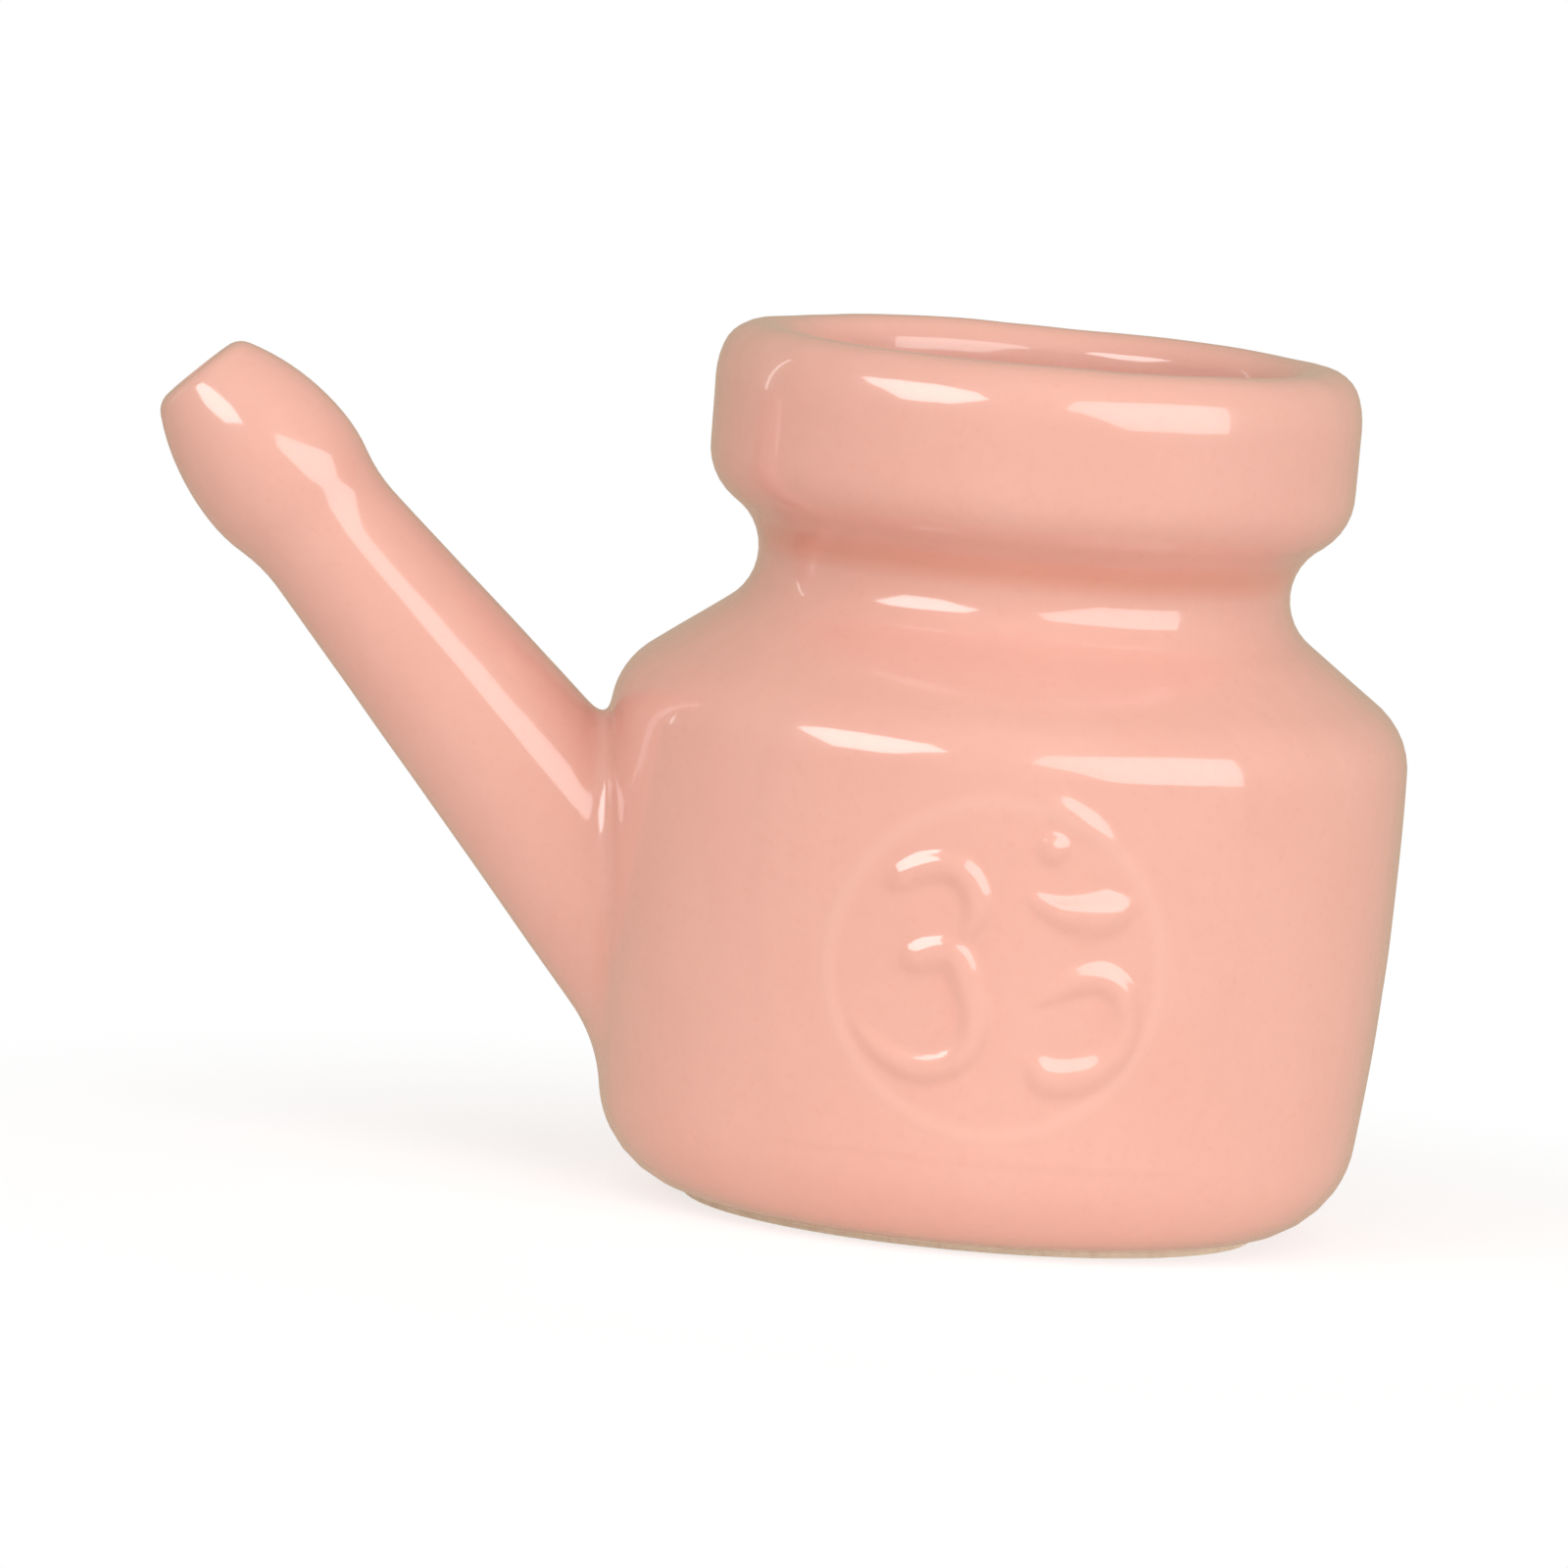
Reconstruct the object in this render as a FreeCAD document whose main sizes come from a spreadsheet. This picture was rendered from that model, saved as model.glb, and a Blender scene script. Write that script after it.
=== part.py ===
import FreeCAD, Part
import math
import os
import Sketcher

# Neti pot: one slip-cast, glazed ceramic body with a rising spout.
# The origin is the centre of the foot, +Z is up, the spout points along -X
# and the raised medallion faces -Y. All lengths are in millimetres.

SIZES = [
    ("pot_height", 98.0, "foot to the crest of the lip"),
    ("foot_radius", 32.2, "outside of the bare foot ring"),
    ("foot_rise", 0.55, "foot ring under the belly"),
    ("recess_radius", 28.0, "hollow inside the foot ring"),
    ("recess_depth", 1.0, "depth of that hollow"),
    ("base_radius", 42.3, "where wall and base would meet"),
    ("base_round", 12.5, "round from base to wall"),
    ("shoulder_radius", 45.4, "where wall and shoulder would meet"),
    ("shoulder_height", 40.3, "from that corner up to the crest"),
    ("shoulder_round", 9.5, "round of the shoulder"),
    ("waist_radius", 24.65, "where shoulder and collar would meet"),
    ("waist_height", 25.25, "from that corner up to the crest"),
    ("waist_round", 6.9, "hollow round of the waist"),
    ("collar_radius", 36.2, "outside of the collar"),
    ("collar_height", 17.6, "from its lower corner up to the crest"),
    ("collar_round", 7.2, "round under the collar"),
    ("lip_round", 4.75, "outer round of the lip"),
    ("mouth_radius", 28.0, "straight bore of the mouth"),
    ("mouth_round", 3.2, "inner round of the lip"),
    ("mouth_ledge", 6.0, "crest down to where the hollow takes over"),
    ("mouth_height", 18.0, "crest down to the lower end of the mouth"),
    ("mouth_ease", 8.0, "round under the mouth"),
    ("throat_radius", 22.4, "corner of the inner waist"),
    ("throat_round", 10.5, "round of the inner waist"),
    ("clay_wall", 4.2, "thickness of the cast wall"),
    ("inner_drop", 2.2, "inner shoulder under the outer one"),
    ("inner_shoulder_round", 4.0, "round of the inner shoulder"),
    ("floor_height", 5.5, "inside floor above the table"),
    ("floor_round", 9.0, "round from floor to inner wall"),
    ("tip_reach", 93.92, "outlet from the pot's axis"),
    ("tip_height", 87.06, "height of the outlet"),
    ("spout_tilt", 46.14, "fall of the spout towards the pot, degrees"),
    ("spout_length", 90.0, "outlet to the buried end of the spout"),
    ("root_radius", 12.9, "spout at its buried end"),
    ("tip_round", 2.5, "round of the nozzle's end"),
    ("bulb_radius", 9.65, "nozzle bulb at its fullest"),
    ("bulb_place", 14.2, "outlet to the fullest part"),
    ("bulb_front", 27.0, "curve from the tip to the bulb"),
    ("bulb_back", 17.5, "curve from the bulb to the neck"),
    ("neck_radius", 8.4, "thinnest part behind the bulb"),
    ("neck_round", 17.5, "hollow curve of that neck"),
    ("root_fillet", 3.0, "slip-smoothed joint at the belly"),
    ("outlet_radius", 2.75, "hole in the nozzle"),
    ("outlet_length", 9.0, "straight part of that hole"),
    ("outlet_round", 0.8, "rounded rim of the hole"),
    ("throat_start", 14.0, "where the spout's hollow is open"),
    ("hollow_start", 4.6, "radius of the hollow there"),
    ("hollow_end", 9.3, "radius of the hollow inside the pot"),
    ("hollow_length", 95.0, "outlet to the end of the hollow"),
    ("medal_height", 32.6, "centre of the medallion"),
    ("medal_radius", 18.4, "centre line of its ring"),
    ("ring_width", 2.4, "width of the ring"),
    ("ring_rise", 0.4, "ring above the wall"),
    ("stroke_width", 4.3, "full width of a stroke"),
    ("stroke_rise", 1.0, "stroke above the wall"),
    ("relief_root", 0.8, "depth of ring and strokes in the wall"),
]

doc = FreeCAD.newDocument("neti_pot")
sheet = doc.addObject("Spreadsheet::Sheet", "Sizes")
for row, (alias, value, note) in enumerate(SIZES, start=1):
    sheet.set("A%d" % row, alias)
    sheet.set("B%d" % row, str(value))
    sheet.set("C%d" % row, note)
    sheet.setAlias("B%d" % row, alias)
doc.recompute()


def size(alias):
    """A size of the sheet as a number."""
    return float(sheet.get(alias))


def amount(*names):
    """Adds named sizes, or takes off those with a minus, as a number and as a rule."""
    number = 0.0
    rule = ""
    for name in names:
        sign = "-" if name.startswith("-") else "+"
        alias = name.lstrip("-")
        number += -size(alias) if sign == "-" else size(alias)
        rule += " %s Sizes.%s" % (sign, alias)
    return number, rule.lstrip(" +")


def tie(sketch, kind, place, length):
    """Adds a dimension to a sketch and binds it to the sheet."""
    number, rule = length
    index = sketch.addConstraint(Sketcher.Constraint(kind, *place, number))
    sketch.setExpression("Constraints[%d]" % index, rule)


def pin(sketch, geometry, point, across, along):
    """Places a point at two lengths from the sketch's origin; None means on the axis."""
    if across is None:
        sketch.addConstraint(Sketcher.Constraint("PointOnObject", geometry, point, -2))
    else:
        tie(sketch, "DistanceX", (-1, 1, geometry, point), across)
    if along is None:
        sketch.addConstraint(Sketcher.Constraint("PointOnObject", geometry, point, -1))
    else:
        tie(sketch, "DistanceY", (-1, 1, geometry, point), along)


def new_sketch(body, name, tilted=False):
    """A sketch on the body's own XZ plane, or along the tilted axis of the spout."""
    sketch = body.newObject("Sketcher::SketchObject", name)
    for plane in body.Origin.OriginFeatures:
        if plane.Role == "XZ_Plane":
            sketch.AttachmentSupport = [(plane, "")]
    sketch.MapMode = "FlatFace"
    if tilted:
        sketch.AttachmentOffset = FreeCAD.Placement(
            FreeCAD.Vector(-size("tip_reach"), size("tip_height"), 0),
            FreeCAD.Rotation(FreeCAD.Vector(0, 0, 1), -size("spout_tilt")),
        )
        sketch.setExpression("AttachmentOffset.Base.x", "-Sizes.tip_reach")
        sketch.setExpression("AttachmentOffset.Base.y", "Sizes.tip_height")
        sketch.setExpression("AttachmentOffset.Rotation.Angle", "-Sizes.spout_tilt")
    return sketch


def rounded_loop(sketch, corners):
    """Draws a closed outline of straight runs, with a tangent arc at each rounded corner.

    A corner is (across, along, round). Its runs pass through the corner itself, and
    the arc takes it off. Round is None where the corner stays sharp.
    """
    spots = []
    for across, along, _ in corners:
        spots.append(FreeCAD.Vector(across[0] if across else 0, along[0] if along else 0, 0))
    count = len(corners)
    ends = []
    for i, (_, _, ease) in enumerate(corners):
        here = spots[i]
        back = (spots[i - 1] - here).normalize()
        on = (spots[(i + 1) % count] - here).normalize()
        if ease is None:
            ends.append((here, here, None))
            continue
        half = back.getAngle(on) / 2
        reach = ease[0] / math.tan(half)
        middle = (back + on).normalize()
        centre = here + middle * (ease[0] / math.sin(half))
        crown = centre - middle * ease[0]
        ends.append((here + back * reach, here + on * reach, crown))
    runs = []
    for i in range(count):
        line = Part.LineSegment(ends[i][1], ends[(i + 1) % count][0])
        runs.append(sketch.addGeometry(line, False))
    for i, (across, along, ease) in enumerate(corners):
        before = runs[i - 1]
        after = runs[i]
        if ease is None:
            sketch.addConstraint(Sketcher.Constraint("Coincident", before, 2, after, 1))
            pin(sketch, after, 1, across, along)
            continue
        first, last, crown = ends[i]
        arc = sketch.addGeometry(Part.Arc(first, crown, last), False)
        to_start = sketch.getPoint(arc, 1).distanceToPoint(first)
        to_end = sketch.getPoint(arc, 2).distanceToPoint(first)
        start, finish = (1, 2) if to_start < to_end else (2, 1)
        sketch.addConstraint(Sketcher.Constraint("Tangent", before, 2, arc, start))
        sketch.addConstraint(Sketcher.Constraint("Tangent", after, 1, arc, finish))
        corner = sketch.addGeometry(Part.Point(spots[i]), True)
        pin(sketch, corner, 1, across, along)
        sketch.addConstraint(Sketcher.Constraint("PointOnObject", corner, 1, before))
        sketch.addConstraint(Sketcher.Constraint("PointOnObject", corner, 1, after))
        tie(sketch, "Radius", (arc,), ease)


def turn(body, kind, name, sketch, axis):
    """Turns a sketch once round its own axis, to add clay or to cut it away."""
    feature = body.newObject(kind, name)
    feature.Profile = sketch
    feature.ReferenceAxis = (sketch, [axis])
    feature.Angle = 360
    before = body.Shape.Volume if kind == "PartDesign::Groove" else 0
    doc.recompute()
    if kind == "PartDesign::Groove" and feature.Shape.Volume >= before:
        raise RuntimeError(name + " cuts nothing")
    return feature


# Shoulder, waist, collar and mouth hang from the crest of the lip
SHOULDER = ("pot_height", "-shoulder_height")
WAIST = ("pot_height", "-waist_height")
COLLAR = ("pot_height", "-collar_height")
MOUTH = ("pot_height", "-mouth_height")
LEDGE = ("pot_height", "-mouth_ledge")

# The pot's outside, turned on the Z axis, with the lip's round over the mouth
pot = doc.addObject("PartDesign::Body", "cast_pot")
outline = new_sketch(pot, "outline")
rounded_loop(outline, [
    (None, amount("foot_rise"), None),
    (amount("base_radius"), amount("foot_rise"), amount("base_round")),
    (amount("shoulder_radius"), amount(*SHOULDER), amount("shoulder_round")),
    (amount("waist_radius"), amount(*WAIST), amount("waist_round")),
    (amount("collar_radius"), amount(*COLLAR), amount("collar_round")),
    (amount("collar_radius"), amount("pot_height"), amount("lip_round")),
    (amount("mouth_radius"), amount("pot_height"), amount("mouth_round")),
    (amount("mouth_radius"), amount(*LEDGE), None),
    (None, amount(*LEDGE), None),
])
turn(pot, "PartDesign::Revolution", "turned_outside", outline, "V_Axis")

# The spout is turned on its own tilted axis: end, bulb, neck and cone
spout = new_sketch(pot, "spout_outline", tilted=True)
bulb = size("bulb_place")
front_centre = FreeCAD.Vector(bulb, size("bulb_radius") - size("bulb_front"), 0)
back_centre = FreeCAD.Vector(bulb, size("bulb_radius") - size("bulb_back"), 0)
crest = FreeCAD.Vector(bulb, size("bulb_radius"), 0)
neck_y = size("neck_radius") + size("neck_round")
between = size("bulb_back") + size("neck_round")
neck_x = bulb + math.sqrt(between ** 2 - (neck_y - back_centre.y) ** 2)
neck_centre = FreeCAD.Vector(neck_x, neck_y, 0)
swap = back_centre + (neck_centre - back_centre) * (size("bulb_back") / between)
tip = size("tip_round")
gap = size("bulb_front") - tip
tip_centre = FreeCAD.Vector(tip, front_centre.y + math.sqrt(gap ** 2 - (bulb - tip) ** 2), 0)
edge = FreeCAD.Vector(0, tip_centre.y, 0)
meet = front_centre + (tip_centre - front_centre) * (size("bulb_front") / gap)
far = FreeCAD.Vector(size("spout_length"), size("root_radius"), 0)
span = neck_centre.distanceToPoint(far)
lean = math.asin(size("neck_round") / span) - math.atan2(neck_centre.y - far.y, far.x - neck_centre.x)
leave = neck_centre + FreeCAD.Vector(math.sin(lean), -math.cos(lean), 0) * size("neck_round")


def arc_between(centre, first, last):
    """The shorter arc about a centre from one point to another."""
    middle = ((first - centre) + (last - centre)).normalize()
    return Part.Arc(first, centre + middle * first.distanceToPoint(centre), last)


axis_line = spout.addGeometry(Part.LineSegment(FreeCAD.Vector(far.x, 0, 0), FreeCAD.Vector(0, 0, 0)), False)
end_face = spout.addGeometry(Part.LineSegment(FreeCAD.Vector(0, 0, 0), edge), False)
tip_arc = spout.addGeometry(arc_between(tip_centre, edge, meet), False)
front_arc = spout.addGeometry(arc_between(front_centre, meet, crest), False)
back_arc = spout.addGeometry(arc_between(back_centre, crest, swap), False)
neck_arc = spout.addGeometry(arc_between(neck_centre, swap, leave), False)
cone = spout.addGeometry(Part.LineSegment(leave, far), False)
root_face = spout.addGeometry(Part.LineSegment(far, FreeCAD.Vector(far.x, 0, 0)), False)


def end_near(geometry, spot):
    """Which end of a curve lies at a spot."""
    first = spout.getPoint(geometry, 1).distanceToPoint(spot)
    last = spout.getPoint(geometry, 2).distanceToPoint(spot)
    return 1 if first < last else 2


for one, other, spot in [
    (end_face, tip_arc, edge),
    (tip_arc, front_arc, meet),
    (front_arc, back_arc, crest),
    (back_arc, neck_arc, swap),
    (neck_arc, cone, leave),
]:
    place = (one, end_near(one, spot), other, end_near(other, spot))
    spout.addConstraint(Sketcher.Constraint("Tangent", *place))
spout.addConstraint(Sketcher.Constraint("Coincident", cone, 2, root_face, 1))
spout.addConstraint(Sketcher.Constraint("Coincident", root_face, 2, axis_line, 1))
spout.addConstraint(Sketcher.Constraint("Coincident", axis_line, 2, end_face, 1))
spout.addConstraint(Sketcher.Constraint("Coincident", end_face, 1, -1, 1))
spout.addConstraint(Sketcher.Constraint("Vertical", end_face))
spout.addConstraint(Sketcher.Constraint("Vertical", root_face))
spout.addConstraint(Sketcher.Constraint("Horizontal", axis_line))
tie(spout, "Radius", (tip_arc,), amount("tip_round"))
tie(spout, "Radius", (front_arc,), amount("bulb_front"))
tie(spout, "Radius", (back_arc,), amount("bulb_back"))
tie(spout, "Radius", (neck_arc,), amount("neck_round"))
tie(spout, "DistanceX", (-1, 1, front_arc, 3), amount("bulb_place"))
pin(spout, back_arc, end_near(back_arc, crest), amount("bulb_place"), amount("bulb_radius"))
tie(spout, "DistanceY", (-1, 1, neck_arc, 3), amount("neck_radius", "neck_round"))
pin(spout, cone, 2, amount("spout_length"), amount("root_radius"))
turn(pot, "PartDesign::Revolution", "turned_spout", spout, "H_Axis")


def soften(body, name, fits, alias):
    """Rounds the edges that a test picks, by a size of the sheet."""
    base = body.Tip
    picked = []
    for number, edge in enumerate(body.Shape.Edges, start=1):
        middle = edge.valueAt((edge.FirstParameter + edge.LastParameter) / 2)
        if fits(edge, middle):
            picked.append("Edge%d" % number)
    fillet = body.newObject("PartDesign::Fillet", name)
    fillet.Base = (base, picked)
    fillet.Radius = size(alias)
    fillet.setExpression("Radius", "Sizes." + alias)
    doc.recompute()


def on_joint(edge, middle):
    """An edge where the spout's skin meets the belly's."""
    return type(edge.Curve) is Part.BSplineCurve and middle.x < -size("waist_radius")


# The joint between spout and belly is smoothed over, as wet slip does it
soften(pot, "spout_joint", on_joint, "root_fillet")

# A low foot ring under the belly
foot = new_sketch(pot, "foot_outline")
rounded_loop(foot, [
    (None, None, None),
    (amount("foot_radius"), None, None),
    (amount("foot_radius"), amount("foot_rise", "recess_depth"), None),
    (None, amount("foot_rise", "recess_depth"), None),
])
turn(pot, "PartDesign::Revolution", "foot_ring", foot, "V_Axis")
recess = new_sketch(pot, "recess_outline")
rounded_loop(recess, [
    (None, None, None),
    (amount("recess_radius"), None, None),
    (amount("recess_radius"), amount("recess_depth"), None),
    (None, amount("recess_depth"), None),
])
turn(pot, "PartDesign::Groove", "foot_recess", recess, "V_Axis")

# The hollow that the slip leaves: mouth, throat and belly
inside = new_sketch(pot, "hollow_outline")
rounded_loop(inside, [
    (None, amount("floor_height"), None),
    (amount("base_radius", "-clay_wall"), amount("floor_height"), amount("floor_round")),
    (
        amount("shoulder_radius", "-clay_wall"),
        amount(*SHOULDER, "-inner_drop"),
        amount("inner_shoulder_round"),
    ),
    (amount("throat_radius"), amount(*WAIST), amount("throat_round")),
    (amount("mouth_radius"), amount(*MOUTH), amount("mouth_ease")),
    (amount("mouth_radius"), amount(*LEDGE), None),
    (None, amount(*LEDGE), None),
])
turn(pot, "PartDesign::Groove", "belly_hollow", inside, "V_Axis")

# The hollow of the spout, from the outlet into the belly
bore = new_sketch(pot, "bore_outline", tilted=True)
rounded_loop(bore, [
    (None, None, None),
    (amount("hollow_length"), None, None),
    (amount("hollow_length"), amount("hollow_end"), None),
    (amount("throat_start"), amount("hollow_start"), None),
    (amount("outlet_length"), amount("outlet_radius"), None),
    (None, amount("outlet_radius"), None),
])
turn(pot, "PartDesign::Groove", "spout_hollow", bore, "H_Axis")


def on_outlet(edge, middle):
    """The rim of the hole in the nozzle."""
    if type(edge.Curve) is not Part.Circle:
        return False
    outlet = FreeCAD.Vector(-size("tip_reach"), 0, size("tip_height"))
    centred = edge.Curve.Center.distanceToPoint(outlet) < size("outlet_round")
    return centred and abs(edge.Curve.Radius - size("outlet_radius")) < 0.01


soften(pot, "outlet_rim", on_outlet, "outlet_round")


# The sign in the medallion, as strokes with a rounded back. Each point of a stroke is
# (across, up, width): the first two in ring radii from the medallion's centre, the
# last in stroke widths.
STROKES = {
    "upper_bow": [
        (-0.78, 0.49, 0.65),
        (-0.66, 0.52, 1.10),
        (-0.49, 0.58, 1.00),
        (-0.33, 0.59, 1.00),
        (-0.19, 0.51, 1.00),
        (-0.14, 0.38, 1.00),
        (-0.20, 0.26, 0.95),
        (-0.32, 0.18, 0.85),
        (-0.45, 0.12, 0.65),
    ],
    "lower_bow": [
        (-0.51, 0.08, 0.60),
        (-0.41, 0.05, 0.90),
        (-0.26, -0.01, 1.00),
        (-0.13, -0.13, 1.00),
        (-0.07, -0.29, 1.00),
        (-0.10, -0.46, 1.00),
        (-0.23, -0.58, 1.00),
        (-0.40, -0.62, 1.00),
        (-0.56, -0.58, 0.95),
        (-0.72, -0.47, 0.80),
        (-0.85, -0.33, 0.50),
    ],
    "hook": [
        (0.19, -0.20, 0.55),
        (0.33, -0.12, 0.85),
        (0.48, -0.03, 1.00),
        (0.63, 0.00, 1.00),
        (0.75, -0.07, 1.00),
        (0.81, -0.21, 0.95),
        (0.80, -0.37, 0.95),
        (0.70, -0.52, 1.00),
        (0.54, -0.61, 1.05),
        (0.38, -0.63, 1.05),
        (0.25, -0.54, 0.80),
    ],
    "crescent": [
        (0.11, 0.52, 0.35),
        (0.23, 0.45, 0.70),
        (0.38, 0.40, 1.10),
        (0.55, 0.39, 1.40),
        (0.68, 0.41, 1.30),
        (0.75, 0.43, 0.95),
    ],
}
DOT = (0.28, 0.76, 1.07)


def wall_radius(height):
    """The pot's outside radius at a height, read from its outline."""
    level = Part.makeLine(
        FreeCAD.Vector(0, 0, height), FreeCAD.Vector(2 * size("shoulder_radius"), 0, height)
    )
    reached = [0.0]
    for run in outline.Shape.Edges:
        gap, pairs, _ = level.distToShape(run)
        if gap < 1e-6:
            reached += [pair[0].x for pair in pairs]
    return max(reached)


def on_wall(across, up):
    """The point of the wall straight behind a point of the medallion's plan, and its normal."""
    height = size("medal_height") + up
    radius = wall_radius(height)
    lean = wall_radius(height + 0.5) - wall_radius(height - 0.5)
    point = FreeCAD.Vector(across, -math.sqrt(radius ** 2 - across ** 2), height)
    normal = FreeCAD.Vector(point.x / radius, point.y / radius, -lean).normalize()
    return point, normal


def ridge(stations, closed=False):
    """Lofts a low rounded ridge along the wall through stations of (across, up, half, rise)."""
    sections = []
    count = len(stations)
    for i, (across, up, half, rise) in enumerate(stations):
        if closed:
            before = stations[i - 1]
            after = stations[(i + 1) % count]
        else:
            before = stations[max(i - 1, 0)]
            after = stations[min(i + 1, count - 1)]
        ahead = on_wall(after[0], after[1])[0] - on_wall(before[0], before[1])[0]
        point, normal = on_wall(across, up)
        side = normal.cross(ahead).normalize()
        curve = (half ** 2 + rise ** 2) / (2 * rise)
        root = min(size("relief_root"), curve - rise)
        chord = math.sqrt(curve ** 2 - (curve - rise - root) ** 2)
        left = point - side * chord - normal * root
        right = point + side * chord - normal * root
        back = Part.Arc(left, point + normal * rise, right).toShape()
        base = Part.LineSegment(right, left).toShape()
        sections.append(Part.Wire([back, base]))
    return Part.makeLoft(sections, True, False, closed)


def stroke_shape(points):
    """One stroke of the sign, a rounded back that sinks into the wall at both ends."""
    scale = size("medal_radius")
    path = Part.BSplineCurve()
    path.interpolate([FreeCAD.Vector(across * scale, up * scale, width) for across, up, width in points])
    length = path.length()
    fade = size("stroke_width") / 2
    places = [0.0, 0.15 * fade, 0.45 * fade]
    steps = int((length - 2 * fade) / fade) + 1
    for i in range(steps + 1):
        places.append(fade + (length - 2 * fade) * i / steps)
    places += [length - 0.45 * fade, length - 0.15 * fade, length]
    stations = []
    for place in places:
        spot = path.value(path.parameterAtDistance(place, path.FirstParameter))
        inward = min(place, length - place, fade) / fade
        share = max(math.sqrt(1 - (1 - inward) ** 2), 0.1)
        half = share * spot.z * size("stroke_width") / 2
        rise = share * min(spot.z, 1.0) * size("stroke_rise")
        stations.append((spot.x, spot.y, half, rise))
    return ridge(stations)


def ring_shape():
    """The round ring that frames the sign."""
    stations = []
    for i in range(24):
        turn_angle = 2 * math.pi * i / 24
        across = size("medal_radius") * math.cos(turn_angle)
        up = size("medal_radius") * math.sin(turn_angle)
        stations.append((across, up, size("ring_width") / 2, size("ring_rise")))
    return ridge(stations, closed=True)


def dot_shape():
    """The dot over the crescent, a shallow cap."""
    half = DOT[2] * size("stroke_width") / 2
    rise = size("stroke_rise")
    curve = (half ** 2 + rise ** 2) / (2 * rise)
    point, normal = on_wall(DOT[0] * size("medal_radius"), DOT[1] * size("medal_radius"))
    lower = math.degrees(math.asin((curve - rise - size("relief_root")) / curve))
    return Part.makeSphere(curve, point - normal * (curve - rise), normal, lower, 90, 360)


reliefs = [("medallion_ring", ring_shape()), ("medallion_dot", dot_shape())]
for name, points in STROKES.items():
    reliefs.append((name, stroke_shape(points)))
raised = []
for name, shape in reliefs:
    ridge_object = doc.addObject("Part::Feature", name)
    ridge_object.Shape = shape
    raised.append(ridge_object)

# The pot as it leaves the kiln: body, ring and sign in one piece
neti_pot = doc.addObject("Part::MultiFuse", "neti_pot")
neti_pot.Shapes = [pot] + raised
neti_pot.Label = "neti_pot"
neti_pot.Placement = FreeCAD.Placement()
doc.recompute()

for thing in doc.Objects:
    if "Invalid" in thing.State or "Error" in thing.State:
        raise RuntimeError("%s did not build: %s" % (thing.Label, thing.State))
if neti_pot.Shape.isNull() or not neti_pot.Shape.isValid() or len(neti_pot.Shape.Solids) != 1:
    raise RuntimeError("the pot is not one sound solid")

os.makedirs("parts", exist_ok=True)
neti_pot.Shape.exportStep("parts/%s.step" % neti_pot.Label)
box = neti_pot.Shape.BoundBox
print("neti_pot %.1f x %.1f x %.1f mm" % (box.XLength, box.YLength, box.ZLength))
print("clay %.0f cubic mm" % neti_pot.Shape.Volume)
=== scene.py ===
import math

import bmesh
import bpy
import numpy as np
from bpy.props import FloatProperty, FloatVectorProperty, IntProperty, PointerProperty
from mathutils import Matrix, Vector


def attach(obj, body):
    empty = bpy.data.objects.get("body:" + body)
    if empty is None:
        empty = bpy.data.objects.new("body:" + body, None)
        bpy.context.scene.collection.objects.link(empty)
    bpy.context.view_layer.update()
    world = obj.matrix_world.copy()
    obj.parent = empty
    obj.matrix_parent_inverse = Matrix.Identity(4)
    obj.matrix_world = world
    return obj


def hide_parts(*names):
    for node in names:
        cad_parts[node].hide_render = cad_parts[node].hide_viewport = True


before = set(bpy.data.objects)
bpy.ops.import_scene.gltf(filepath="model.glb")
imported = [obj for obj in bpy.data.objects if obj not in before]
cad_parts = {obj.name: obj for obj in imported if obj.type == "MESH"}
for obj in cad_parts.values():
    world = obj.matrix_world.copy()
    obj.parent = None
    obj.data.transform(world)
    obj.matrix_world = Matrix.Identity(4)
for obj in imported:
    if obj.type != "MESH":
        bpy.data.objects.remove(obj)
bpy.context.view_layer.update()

bl_info = {
    "name": "Neti Pot",
    "version": (1, 0, 0),
    "blender": (4, 5, 0),
    "location": "View3D > Sidebar > Neti Pot",
    "description": "A slip-cast, glazed neti pot with a rising spout and a raised medallion",
    "category": "Add Mesh",
}

MM = 0.001


def length_size(name, description, default):
    """A length that a user may change, given in millimetres."""
    return FloatProperty(
        name=name, description=description, default=default * MM, unit="LENGTH", precision=5
    )


def angle_size(name, description, degrees):
    """An angle that a user may change, given in degrees."""
    return FloatProperty(
        name=name, description=description, default=math.radians(degrees), subtype="ANGLE"
    )


def lamp_power(name, description, default):
    """The power of a light, in watts."""
    return FloatProperty(name=name, description=description, default=default, unit="POWER")


def tint(name, description, default):
    """A colour that a user may change."""
    return FloatVectorProperty(
        name=name, description=description, default=default, subtype="COLOR", size=3, min=0.0, max=1.0
    )


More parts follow.
